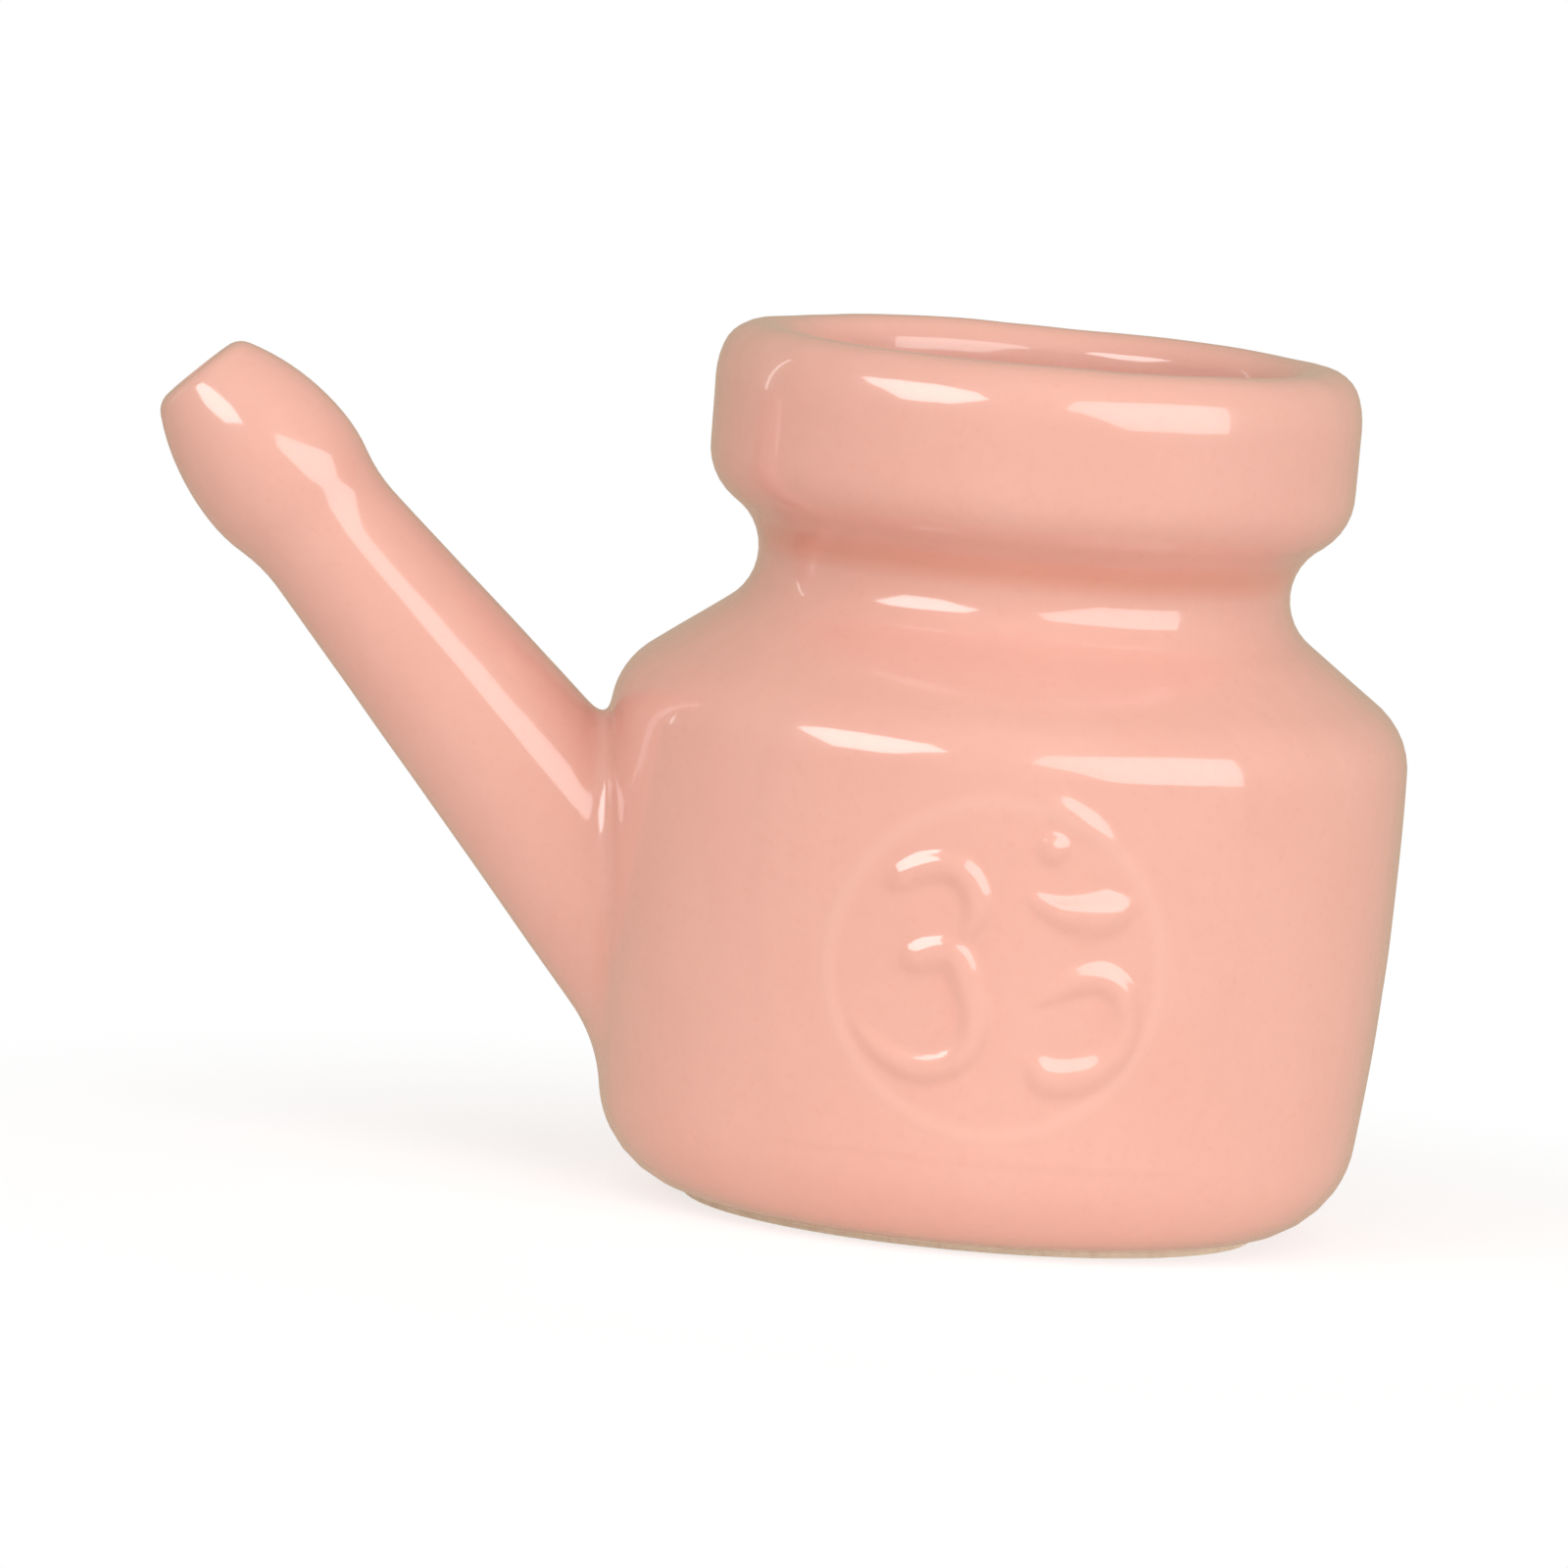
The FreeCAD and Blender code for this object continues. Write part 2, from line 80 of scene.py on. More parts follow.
class PotSizes(bpy.types.PropertyGroup):
    """Sizes of the cast pot, as the clay and its glaze have them."""

    pot_height: length_size("Pot Height", "Foot to the crest of the lip", 98.0)
    foot_radius: length_size("Foot Radius", "Outside of the bare foot ring", 32.2)
    recess_radius: length_size("Recess Radius", "Hollow inside the foot ring", 28.0)
    belly_radius: length_size("Belly Radius", "Where the bowed wall is widest", 45.05)
    belly_bow: length_size("Belly Bow", "Radius of the wall's gentle bow", 268.0)
    waist_radius: length_size("Waist Radius", "Where shoulder and collar would meet", 24.88)
    collar_radius: length_size("Collar Radius", "Outside of the collar", 36.22)
    mouth_radius: length_size("Mouth Radius", "Straight bore of the mouth", 28.0)
    clay_wall: length_size("Clay Wall", "Thickness of the cast wall", 4.2)
    tip_reach: length_size("Tip Reach", "Outlet from the pot's axis", 93.92)
    tip_height: length_size("Tip Height", "Height of the outlet", 87.06)
    spout_tilt: angle_size("Spout Tilt", "Fall of the spout towards the pot", 46.14)
    outlet_radius: length_size("Outlet Radius", "Hole in the nozzle", 2.75)
    notch_blend: length_size("Notch Blend", "Slip in the notch over the spout's root", 2.6)
    heel_blend: length_size("Heel Blend", "Slip under the spout's root", 2.8)
    hand_wobble: length_size("Hand Wobble", "How far the wall strays from a true turned form", 0.22)
    lip_wobble: length_size("Lip Wobble", "How far the lip strays", 0.34)
    steps_around: IntProperty(
        name="Steps Around", description="Faces round the belly", default=200, min=64
    )


class MedallionSizes(bpy.types.PropertyGroup):
    """Sizes of the ring and the sign."""

    centre_height: length_size("Centre Height", "Centre of the medallion", 32.6)
    ring_radius: length_size("Ring Radius", "Crest line of the ring", 18.4)
    ring_width: length_size("Ring Width", "Width of the ring", 3.2)
    ring_rise: length_size("Ring Rise", "Ring above the wall", 0.22)
    stroke_width: length_size("Stroke Width", "Full width of a stroke", 5.4)
    stroke_rise: length_size("Stroke Rise", "Stroke above the wall", 0.80)
    flow_rise: length_size("Flow Rise", "Run of glaze under the shoulder", 0.45)


class PotColours(bpy.types.PropertyGroup):
    """Colours of the glaze, the bare clay and the stage."""

    glaze: tint("Glaze", "The glaze where it is of even depth", (0.750, 0.393, 0.322))
    thin_glaze: tint("Thin Glaze", "The glaze where it runs thin over an edge", (0.770, 0.456, 0.374))
    # Deeper glaze colour: it tints the specks, and in hollows that hang over it is partly pooled glaze
    # and partly painted shade
    pooled_glaze_and_shade: tint("Pooled Glaze", "The glaze where it gathers in a hollow", (0.685, 0.258, 0.167))
    bare_clay: tint("Bare Clay", "The fired clay of the foot", (0.860, 0.740, 0.600))
    floor: tint("Floor", "The floor the pot stands on", (0.93, 0.92, 0.91))


class StageSettings(bpy.types.PropertyGroup):
    """Where the camera stands and how strong the light is."""

    camera_height: angle_size("Camera Elevation", "Camera above the level", 6.02)
    camera_roll: angle_size("Camera Roll", "Turn of the camera about its line of sight", 5.0)
    camera_distance: length_size("Camera Distance", "Camera to the pot", 1568.0)
    left_light: lamp_power("Left Light", "Power of the left panel", 4.2)
    right_light: lamp_power("Right Light", "Power of the right panel", 6.7)
    right_fill: lamp_power("Right Fill", "Power of the low right fill", 2.2)
    front_fill: lamp_power("Front Fill", "Power of the high front fill", 3.9)
    edge_light: lamp_power("Edge Light", "Power of the far left strip", 0.12)
    room_light: FloatProperty(
        name="Room Light", description="Brightness of the room", default=0.42, min=0.0
    )


# The cloth of each lit panel, as corners in metres across and up from its middle
LEFT_PANEL = (
    (-0.455, 0.12), (-0.28, 0.195), (0.30, 0.195), (0.455, 0.05), (0.15, -0.195), (-0.15, -0.195),
)
RIGHT_PANEL = (
    (-0.635, 0.10), (-0.50, 0.315), (0.635, 0.315), (0.635, -0.315), (-0.15, -0.315),
)

# Where the lights look, and how far off they stand, in metres
LIGHTS_AIM = Vector((-0.01, 0, 0.05))
LIGHTS_AWAY = 1.1

# How the steps round the body crowd towards the front, and the half width of the block that the
# spout leaves through, in degrees
FRONT_CROWDING = 0.36
BLOCK_REACH = 24.0

# Radius outside which a point is on the belly's outer skin, in metres
OUTER_SKIN = 0.0422

# The sign's strokes, each point as (across, up, width): the first two in ring radii from the
# medallion's centre, the last in stroke widths. The flow mark is a run of glaze on the ring.
STROKES = {
    "upper_bow": [
        (-0.72, 0.47, 0.55), (-0.61, 0.50, 0.90), (-0.48, 0.57, 1.00), (-0.35, 0.60, 1.00),
        (-0.23, 0.56, 1.00), (-0.16, 0.47, 1.00), (-0.13, 0.36, 0.95), (-0.16, 0.26, 0.80),
        (-0.22, 0.19, 0.60), (-0.29, 0.13, 0.50),
    ],
    "lower_bow": [
        (-0.57, 0.00, 0.85), (-0.46, 0.04, 1.10), (-0.35, 0.08, 1.15), (-0.26, 0.08, 1.12),
        (-0.19, -0.01, 1.05), (-0.14, -0.13, 1.00), (-0.09, -0.28, 1.00), (-0.11, -0.45, 1.00),
        (-0.23, -0.58, 1.00), (-0.40, -0.62, 1.00), (-0.56, -0.58, 0.90), (-0.72, -0.47, 0.65),
        (-0.86, -0.32, 0.30),
    ],
    "hook": [
        (0.17, -0.21, 0.35), (0.33, -0.12, 0.70), (0.48, -0.03, 0.95), (0.63, 0.00, 1.00),
        (0.75, -0.07, 1.00), (0.81, -0.21, 0.95), (0.80, -0.37, 0.95), (0.70, -0.52, 1.05),
        (0.54, -0.60, 1.25), (0.38, -0.61, 1.25), (0.24, -0.52, 0.85),
    ],
    "crescent": [
        (0.11, 0.52, 0.35), (0.22, 0.44, 0.70), (0.36, 0.38, 1.05), (0.53, 0.37, 1.35),
        (0.67, 0.40, 1.30), (0.76, 0.45, 0.85),
    ],
    "dot": [(0.28, 0.76, 1.07)],
    "flow_mark": [
        (0.20, 1.03, 1.20), (0.38, 0.95, 1.10), (0.55, 0.85, 0.90), (0.70, 0.72, 0.60),
    ],
}


# Outlines in the plane of a turned form

def rounded_path(corners, grain=0.05):
    """Even, dense points along straight runs, with an arc at each corner (radius, height, round)."""
    spots = [Vector(corner[:2]) for corner in corners]
    points = []
    for k, (_, _, ease) in enumerate(corners):
        here = spots[k]
        if k in (0, len(corners) - 1) or not ease:
            points.append(here)
            continue
        back = (spots[k - 1] - here).normalized()
        ahead = (spots[k + 1] - here).normalized()
        half = back.angle(ahead) / 2
        centre = here + (back + ahead).normalized() * (ease / math.sin(half))
        arm = here + back * (ease / math.tan(half)) - centre
        swing = math.pi - 2 * half
        if arm.y * back.x - arm.x * back.y < 0:
            swing = -swing
        count = max(8, math.ceil(abs(swing) * ease / grain))
        for step in range(count + 1):
            turn = swing * step / count
            points.append(centre + Matrix.Rotation(turn, 2) @ arm)
    return even_path([tuple(p) for p in points], grain)


def even_path(points, grain=0.05):
    """The same line as points at even steps."""
    line = np.array(points, float)
    line = line[np.concatenate([[True], np.hypot(*np.diff(line, axis=0).T) > 1e-5])]
    run = np.concatenate([[0.0], np.cumsum(np.hypot(*np.diff(line, axis=0).T))])
    even = np.linspace(0, run[-1], int(run[-1] / grain) + 1)
    return np.column_stack([np.interp(even, run, line[:, 0]), np.interp(even, run, line[:, 1])])


def set_rows(path, stops):
    """Picks rows along a dense path, closer where it bends, and says which row is at each stop.

    A stop is (index, step, count or None).
    """
    heading = np.unwrap(np.arctan2(*np.diff(path, axis=0).T[::-1]))
    run = np.concatenate([[0.0], np.cumsum(np.hypot(*np.diff(path, axis=0).T))])
    bend = np.abs(np.gradient(heading, run[:-1]))
    bend = np.convolve(np.append(bend, bend[-1]), np.ones(15) / 15, mode="same")
    rows = [path[0]]
    at_stop = [0]
    for (first, step, count), (last, _, _) in zip(stops[:-1], stops[1:]):
        part = slice(first, last + 1)
        weight = np.maximum(1 / step, bend[part] / 0.21)
        gathered = np.concatenate([[0.0], np.cumsum((weight[1:] + weight[:-1]) / 2 * np.diff(run[part]))])
        number = count or math.ceil(gathered[-1])
        for target in np.linspace(0, gathered[-1], number + 1)[1:]:
            rows.append(np.array([np.interp(target, gathered, path[part, k]) for k in range(2)]))
        at_stop.append(len(rows) - 1)
    return np.array(rows), at_stop


def body_outline(sizes):
    """The pot's closed outline in millimetres: under the foot, up the outside, down the inside."""
    top = sizes.pot_height / MM
    belly = sizes.belly_radius / MM
    waist = sizes.waist_radius / MM
    collar = sizes.collar_radius / MM
    mouth = sizes.mouth_radius / MM
    wall = sizes.clay_wall / MM
    foot = sizes.foot_radius / MM
    recess = sizes.recess_radius / MM
    foot_rise, recess_depth, floor_height = 0.55, 1.0, 5.5
    outside = [
        (0, foot_rise, 0),
        (belly - 3.89, foot_rise, 12.1),
        (belly, top - 66.84, sizes.belly_bow / MM),
        (belly - 0.36, top - 39.87, 8.8),
        (waist, top - 25.4, 6.87),
        (collar - 0.08, top - 17.58, 7.2),
        (collar, top - 4.54, 10.6),
        (collar - 1.83, top, 4.1),
    ]
    inside = [
        (mouth, top, 3.2),
        (mouth, top - 15.0, 8.0),
        (waist - 1.5, top - 25.25, 9.5),
        (belly - wall + 0.35, top - 42.5, 4.0),
        (belly - wall - 2.75, floor_height, 9.0),
        (0, floor_height, 0),
    ]
    cast = rounded_path(outside + inside)
    cast = cast[int(np.argmax(cast[:, 0] > foot)):]
    ring = rounded_path([
        (0, recess_depth, 0),
        (recess, recess_depth, 0.35),
        (recess, 0, 0.35),
        (foot, 0, 0.25),
        (foot, cast[0, 1], 0),
    ])
    return even_path(np.vstack([ring, cast]))


def spout_outline(sizes):
    """The spout's outline as dense points (radius, distance from the tip) in millimetres."""
    bulb, bulb_place = 9.65, 14.2
    tip, front, back = 2.5, 27.0, 17.5
    neck, neck_round = 8.4, 17.5
    root = (12.9, 90.0)
    hollow = ((4.6, 14.0), (9.3, 95.0))
    front_centre = Vector((bulb - front, bulb_place))
    back_centre = Vector((bulb - back, bulb_place))
    neck_across = neck + neck_round
    neck_along = bulb_place + math.sqrt((back + neck_round) ** 2 - (neck_across - back_centre.x) ** 2)
    neck_centre = Vector((neck_across, neck_along))
    gap = front - tip
    tip_centre = Vector((front_centre.x + math.sqrt(gap ** 2 - (bulb_place - tip) ** 2), tip))
    meet = front_centre + (tip_centre - front_centre) * (front / gap)
    swap = back_centre + (neck_centre - back_centre) * (back / (back + neck_round))
    far = Vector(root)
    span = (neck_centre - far).length
    lean = math.asin(neck_round / span) - math.atan2(neck_centre.x - far.x, far.y - neck_centre.y)
    leave = neck_centre + Vector((-math.cos(lean), math.sin(lean))) * neck_round

    def arc(centre, first, last):
        start = first - centre
        finish = last - centre
        angle = start.angle(finish)
        if start.x * finish.y - start.y * finish.x < 0:
            angle = -angle
        return [centre + Matrix.Rotation(angle * k / 60, 2) @ start for k in range(61)]

    points = [far]
    points += arc(neck_centre, leave, swap)
    points += arc(back_centre, swap, Vector((bulb, bulb_place)))
    points += arc(front_centre, Vector((bulb, bulb_place)), meet)
    points += arc(tip_centre, meet, Vector((tip_centre.x, 0)))
    outer = np.array([tuple(p) for p in points])
    hole = sizes.outlet_radius / MM
    inner = rounded_path([
        (tip_centre.x - 0.2, 0, 0),
        (hole, 0, 0.9),
        (hole, 9.0, 4.0),
        (*hollow[0], 12.0),
        (*hollow[1], 0),
    ])
    return even_path(np.vstack([outer, inner]))


# Node trees

def new_tree(name, inputs, outputs=(("Geometry", "NodeSocketGeometry"),)):
    """An empty geometry node tree with named inputs, its input node and its output node."""
    tree = bpy.data.node_groups.new(name, "GeometryNodeTree")
    for label, kind, default in inputs:
        socket = tree.interface.new_socket(label, in_out="INPUT", socket_type=kind)
        if default is not None:
            socket.default_value = default
    for label, kind in outputs:
        tree.interface.new_socket(label, in_out="OUTPUT", socket_type=kind)
    return tree, tree.nodes.new("NodeGroupInput"), tree.nodes.new("NodeGroupOutput")


def feed(tree, target, value):
    """Joins an output socket to an input, or sets the input's own value."""
    if isinstance(value, bpy.types.NodeSocket):
        tree.links.new(value, target)
    else:
        target.default_value = value


def calc(tree, operation, *values):
    """A math node on numbers or sockets."""
    node = tree.nodes.new("ShaderNodeMath")
    node.operation = operation
    for slot, value in zip(node.inputs, values):
        feed(tree, slot, value)
    return node.outputs[0]


def vector_calc(tree, operation, *values, scale=None):
    """A vector math node on vectors or sockets."""
    node = tree.nodes.new("ShaderNodeVectorMath")
    node.operation = operation
    for slot, value in zip(node.inputs, values):
        feed(tree, slot, value)
    if scale is not None:
        feed(tree, node.inputs["Scale"], scale)
    return node.outputs["Value"] if operation in ("DISTANCE", "LENGTH") else node.outputs["Vector"]


def place(tree, kind, **values):
    """A node with its inputs set or joined by name."""
    node = tree.nodes.new(kind)
    for label, value in values.items():
        feed(tree, node.inputs[label.replace("_", " ")], value)
    return node


def object_mesh(tree, socket):
    """The mesh of an object input, in the object's own coordinates."""
    info = tree.nodes.new("GeometryNodeObjectInfo")
    info.transform_space = "ORIGINAL"
    tree.links.new(socket, info.inputs["Object"])
    return info.outputs["Geometry"]


def sample(tree, geometry, value, index, kind="FLOAT"):
    """A value of one point of a geometry."""
    node = tree.nodes.new("GeometryNodeSampleIndex")
    node.data_type = kind
    node.domain = "POINT"
    tree.links.new(geometry, node.inputs["Geometry"])
    tree.links.new(value, node.inputs["Value"])
    tree.links.new(index, node.inputs["Index"])
    return node.outputs["Value"]


def keep_number(tree, geometry, name, value):
    """Stores a whole number on every point under a name."""
    node = tree.nodes.new("GeometryNodeStoreNamedAttribute")
    node.data_type = "INT"
    node.domain = "POINT"
    node.inputs["Name"].default_value = name
    tree.links.new(geometry, node.inputs["Geometry"])
    tree.links.new(value, node.inputs["Value"])
    return node.outputs["Geometry"]


def scale_range(tree, value, low, high, start=0.0, end=1.0):
    """A smooth step between two values."""
    node = tree.nodes.new("ShaderNodeMapRange")
    node.interpolation_type = "SMOOTHSTEP"
    feed(tree, node.inputs["Value"], value)
    for label, number in (("From Min", low), ("From Max", high), ("To Min", start), ("To Max", end)):
        feed(tree, node.inputs[label], number)
    return node.outputs[0]


def close_tree(tree, geometry, material, out):
    """Ends a tree in plain geometry with its material."""
    real = place(tree, "GeometryNodeRealizeInstances", Geometry=geometry)
    painted = place(tree, "GeometryNodeSetMaterial", Geometry=real.outputs[0], Material=material)
    tree.links.new(painted.outputs[0], out.inputs[0])


def turned_tree():
    """Turns an outline about the Z axis, as a potter's template does."""
    tree, given, out = new_tree("turned_form", [
        ("Geometry", "NodeSocketGeometry", None),
        ("Outline", "NodeSocketObject", None),
        ("Steps Around", "NodeSocketInt", 96),
        ("Front Crowding", "NodeSocketFloat", 0.0),
        ("Material", "NodeSocketMaterial", None),
    ])
    outline = object_mesh(tree, given.outputs["Outline"])
    count = tree.nodes.new("GeometryNodeAttributeDomainSize")
    tree.links.new(outline, count.inputs[0])
    rows = count.outputs["Point Count"]
    steps = given.outputs["Steps Around"]
    columns = calc(tree, "ADD", steps, 1.0)
    grid = place(tree, "GeometryNodeMeshGrid", Vertices_X=columns, Vertices_Y=rows)
    index = tree.nodes.new("GeometryNodeInputIndex").outputs[0]
    along = calc(tree, "MODULO", index, rows)
    around = calc(tree, "FLOOR", calc(tree, "DIVIDE", calc(tree, "ADD", index, 0.5), rows))
    even = calc(tree, "MULTIPLY", calc(tree, "DIVIDE", around, steps), 2 * math.pi)
    swing = calc(tree, "MULTIPLY", calc(tree, "SINE", even), given.outputs["Front Crowding"])
    angle = calc(tree, "ADD", even, swing)
    position = tree.nodes.new("GeometryNodeInputPosition").outputs[0]
    found = sample(tree, outline, position, along, "FLOAT_VECTOR")
    spot = place(tree, "ShaderNodeSeparateXYZ", Vector=found)
    across = spot.outputs["X"]
    turned = place(
        tree, "ShaderNodeCombineXYZ", X=calc(tree, "MULTIPLY", across, calc(tree, "SINE", angle)),
        Y=calc(tree, "MULTIPLY", across, calc(tree, "COSINE", angle)), Z=spot.outputs["Z"],
    )
    marked = keep_number(tree, grid.outputs["Mesh"], "around", calc(tree, "MODULO", around, steps))
    marked = keep_number(tree, marked, "along", along)
    moved = place(tree, "GeometryNodeSetPosition", Geometry=marked, Position=turned.outputs[0])
    merged = place(tree, "GeometryNodeMergeByDistance", Geometry=moved.outputs[0], Distance=1e-6)
    close_tree(tree, merged.outputs[0], given.outputs["Material"], out)
    return tree


def ridge_group():
    """How high one soft stroke stands over a point of the wall."""
    tree, given, out = new_tree(
        "ridge_height", [("Stroke", "NodeSocketObject", None)], [("Height", "NodeSocketFloat")]
    )
    stroke = object_mesh(tree, given.outputs["Stroke"])
    position = tree.nodes.new("GeometryNodeInputPosition").outputs[0]
    nearest = tree.nodes.new("GeometryNodeSampleNearest")
    nearest.domain = "POINT"
    tree.links.new(stroke, nearest.inputs["Geometry"])
    index = nearest.outputs["Index"]
    spot = sample(tree, stroke, position, index, "FLOAT_VECTOR")
    found = []
    for name in ("half_width", "rise"):
        attribute = tree.nodes.new("GeometryNodeInputNamedAttribute")
        attribute.data_type = "FLOAT"
        attribute.inputs["Name"].default_value = name
        found.append(sample(tree, stroke, attribute.outputs["Attribute"], index))
    away = vector_calc(tree, "DISTANCE", position, spot)
    share = calc(tree, "MINIMUM", calc(tree, "DIVIDE", away, found[0]), 1.0)
    wave = calc(tree, "COSINE", calc(tree, "MULTIPLY", share, math.pi))
    bump = calc(tree, "MULTIPLY", calc(tree, "ADD", wave, 1.0), 0.5)
    tree.links.new(calc(tree, "MULTIPLY", bump, found[1]), out.inputs["Height"])
    return tree


def relief_tree(names):
    """Moulds ring and strokes into the wall and lets it stray as hand work does."""
    ridge = ridge_group()
    inputs = [("Geometry", "NodeSocketGeometry", None)]
    inputs += [(name, "NodeSocketObject", None) for name in names]
    inputs += [
        ("Centre Height", "NodeSocketFloat", 0.0326),
        ("Ring Radius", "NodeSocketFloat", 0.0184),
        ("Ring Width", "NodeSocketFloat", 0.0032),
        ("Ring Rise", "NodeSocketFloat", 0.00022),
        ("Wobble", "NodeSocketFloat", 0.00022),
        ("Lip Wobble", "NodeSocketFloat", 0.00034),
        ("Lip Height", "NodeSocketFloat", 0.098),
        ("Material", "NodeSocketMaterial", None),
    ]
    tree, given, out = new_tree("moulded_relief", inputs)
    position = tree.nodes.new("GeometryNodeInputPosition").outputs[0]
    normal = tree.nodes.new("GeometryNodeInputNormal").outputs[0]
    apart = place(tree, "ShaderNodeSeparateXYZ", Vector=position)
    height = None
    for name in names:
        group = tree.nodes.new("GeometryNodeGroup")
        group.node_tree = ridge
        tree.links.new(given.outputs[name], group.inputs["Stroke"])
        found = group.outputs["Height"]
        height = found if height is None else calc(tree, "SMOOTH_MAX", height, found, 0.0003)
    up = calc(tree, "SUBTRACT", apart.outputs["Z"], given.outputs["Centre Height"])
    plan = place(tree, "ShaderNodeCombineXYZ", X=apart.outputs["X"], Y=up)
    from_centre = vector_calc(tree, "LENGTH", plan.outputs[0])
    off_ring = calc(tree, "SUBTRACT", from_centre, given.outputs["Ring Radius"])
    off_ring = calc(tree, "ABSOLUTE", off_ring)
    half = calc(tree, "DIVIDE", given.outputs["Ring Width"], 2.0)
    share = calc(tree, "MULTIPLY", calc(tree, "DIVIDE", off_ring, half), 1.2)
    bell = calc(tree, "EXPONENT", calc(tree, "MULTIPLY", calc(tree, "POWER", share, 2.2), -1.0))
    ring = calc(tree, "MULTIPLY", bell, given.outputs["Ring Rise"])
    relief = calc(tree, "MAXIMUM", ring, height)
    faces_front = calc(tree, "LESS_THAN", apart.outputs["Y"], -0.036)
    flat = place(tree, "ShaderNodeCombineXYZ", X=apart.outputs["X"], Y=apart.outputs["Y"]).outputs[0]
    on_skin = calc(tree, "GREATER_THAN", vector_calc(tree, "LENGTH", flat), 0.0425)
    relief = calc(tree, "MULTIPLY", relief, calc(tree, "MULTIPLY", faces_front, on_skin))
    raised = vector_calc(tree, "SCALE", normal, scale=relief)
    noise = place(tree, "ShaderNodeTexNoise", Vector=position, Scale=38.0, Detail=2.5, Roughness=0.50)
    sway = calc(tree, "SUBTRACT", noise.outputs[0], 0.5)
    off_foot = scale_range(tree, apart.outputs["Z"], 0.0015, 0.012)
    lip_starts = calc(tree, "SUBTRACT", given.outputs["Lip Height"], 0.010)
    lip_full = calc(tree, "SUBTRACT", given.outputs["Lip Height"], 0.001)
    at_lip = scale_range(tree, apart.outputs["Z"], lip_starts, lip_full)
    reach = calc(tree, "MULTIPLY", off_foot, given.outputs["Wobble"])
    lip_reach = calc(tree, "MULTIPLY", at_lip, given.outputs["Lip Wobble"])
    reach = calc(tree, "ADD", reach, lip_reach)
    step = calc(tree, "MULTIPLY", calc(tree, "MULTIPLY", sway, 2.0), reach)
    stray = vector_calc(tree, "SCALE", normal, scale=step)
    offset = vector_calc(tree, "ADD", raised, stray)
    moved = place(
        tree, "GeometryNodeSetPosition", Geometry=given.outputs["Geometry"], Offset=offset
    )
    close_tree(tree, moved.outputs[0], given.outputs["Material"], out)
    return tree


def run_tree(name, tree, mesh, values):
    """Runs a tree on a mesh through a modifier and gives the result as a plain mesh."""
    carrier = bpy.data.objects.new(name, mesh)
    bpy.context.scene.collection.objects.link(carrier)
    modifier = carrier.modifiers.new(name, "NODES")
    modifier.node_group = tree
    for item in tree.interface.items_tree:
        if item.item_type == "SOCKET" and item.in_out == "INPUT" and item.name in values:
            modifier[item.identifier] = values[item.name]
    bpy.context.view_layer.update()
    graph = bpy.context.evaluated_depsgraph_get()
    result = bpy.data.meshes.new_from_object(carrier.evaluated_get(graph))
    carrier.modifiers.remove(modifier)
    bpy.data.objects.remove(carrier)
    if not len(result.polygons):
        raise RuntimeError(name + " came out empty")
    return result


def store_numbers(mesh, label, values):
    """Stores a number on each point of a mesh."""
    kept = mesh.attributes.new(label, "FLOAT", "POINT")
    kept.data.foreach_set("value", np.array(values, np.float32))


def guide(name, points, **numbers):
    """A line of points that a tree reads, with numbers on its points."""
    mesh = bpy.data.meshes.new(name)
    mesh.from_pydata([tuple(p) for p in points], [(k, k + 1) for k in range(len(points) - 1)], [])
    for label, values in numbers.items():
        store_numbers(mesh, label, values)
    line = bpy.data.objects.new(name, mesh)
    bpy.context.scene.collection.objects.link(line)
    return line


def turn_outline(name, tree, rows, steps, crowding, material):
    """Turns rows of an outline; gives points in millimetres, faces, and each point's step and row."""
    line = guide(name + "_outline", [(r * MM, 0, z * MM) for r, z in rows])
    start = bpy.data.meshes.new(name)
    values = {"Outline": line, "Steps Around": steps, "Front Crowding": crowding, "Material": material}
    mesh = run_tree(name, tree, start, values)
    count = len(mesh.vertices)
    points = np.zeros(count * 3)
    mesh.vertices.foreach_get("co", points)
    marks = []
    for label in ("around", "along"):
        found = np.zeros(count, np.int32)
        mesh.attributes[label].data.foreach_get("value", found)
        marks.append(found)
    faces = [tuple(face.vertices) for face in mesh.polygons]
    bpy.data.objects.remove(line)
    bpy.data.meshes.remove(mesh)
    return points.reshape(-1, 3) / MM, faces, marks[0] % steps, marks[1]


# Joining the spout to the pot

class Skin:
    """A turned surface read as radius over distance along its axis."""

    def __init__(self, outline):
        order = np.argsort(outline[:, 1], kind="stable")
        along, first = np.unique(outline[order, 1], return_index=True)
        self.along = along
        self.radius = outline[order, 0][first]
        self.slope = np.gradient(self.radius, self.along)

    def at(self, along):
        return np.interp(along, self.along, self.radius)

    def gap(self, across, along):
        slope = np.interp(along, self.along, self.slope)
        return (across - self.at(along)) / np.sqrt(1 + slope ** 2)


class SpoutFrame:
    """The spout's tilted axis, from the outlet into the pot."""

    def __init__(self, sizes):
        tilt = sizes.spout_tilt
        self.tip = np.array([-sizes.tip_reach / MM, 0, sizes.tip_height / MM])
        self.axis = np.array([math.cos(tilt), 0, -math.sin(tilt)])
        self.over = np.array([math.sin(tilt), 0, math.cos(tilt)])
        self.side = np.array([0, 1.0, 0])

    def point(self, across, along, angle):
        radial = np.cos(angle)[:, None] * self.over + np.sin(angle)[:, None] * self.side
        return self.tip + np.asarray(along)[:, None] * self.axis + np.asarray(across)[:, None] * radial

    def measure(self, points):
        away = points - self.tip
        along = away @ self.axis
        return np.linalg.norm(away - along[:, None] * self.axis, axis=1), along


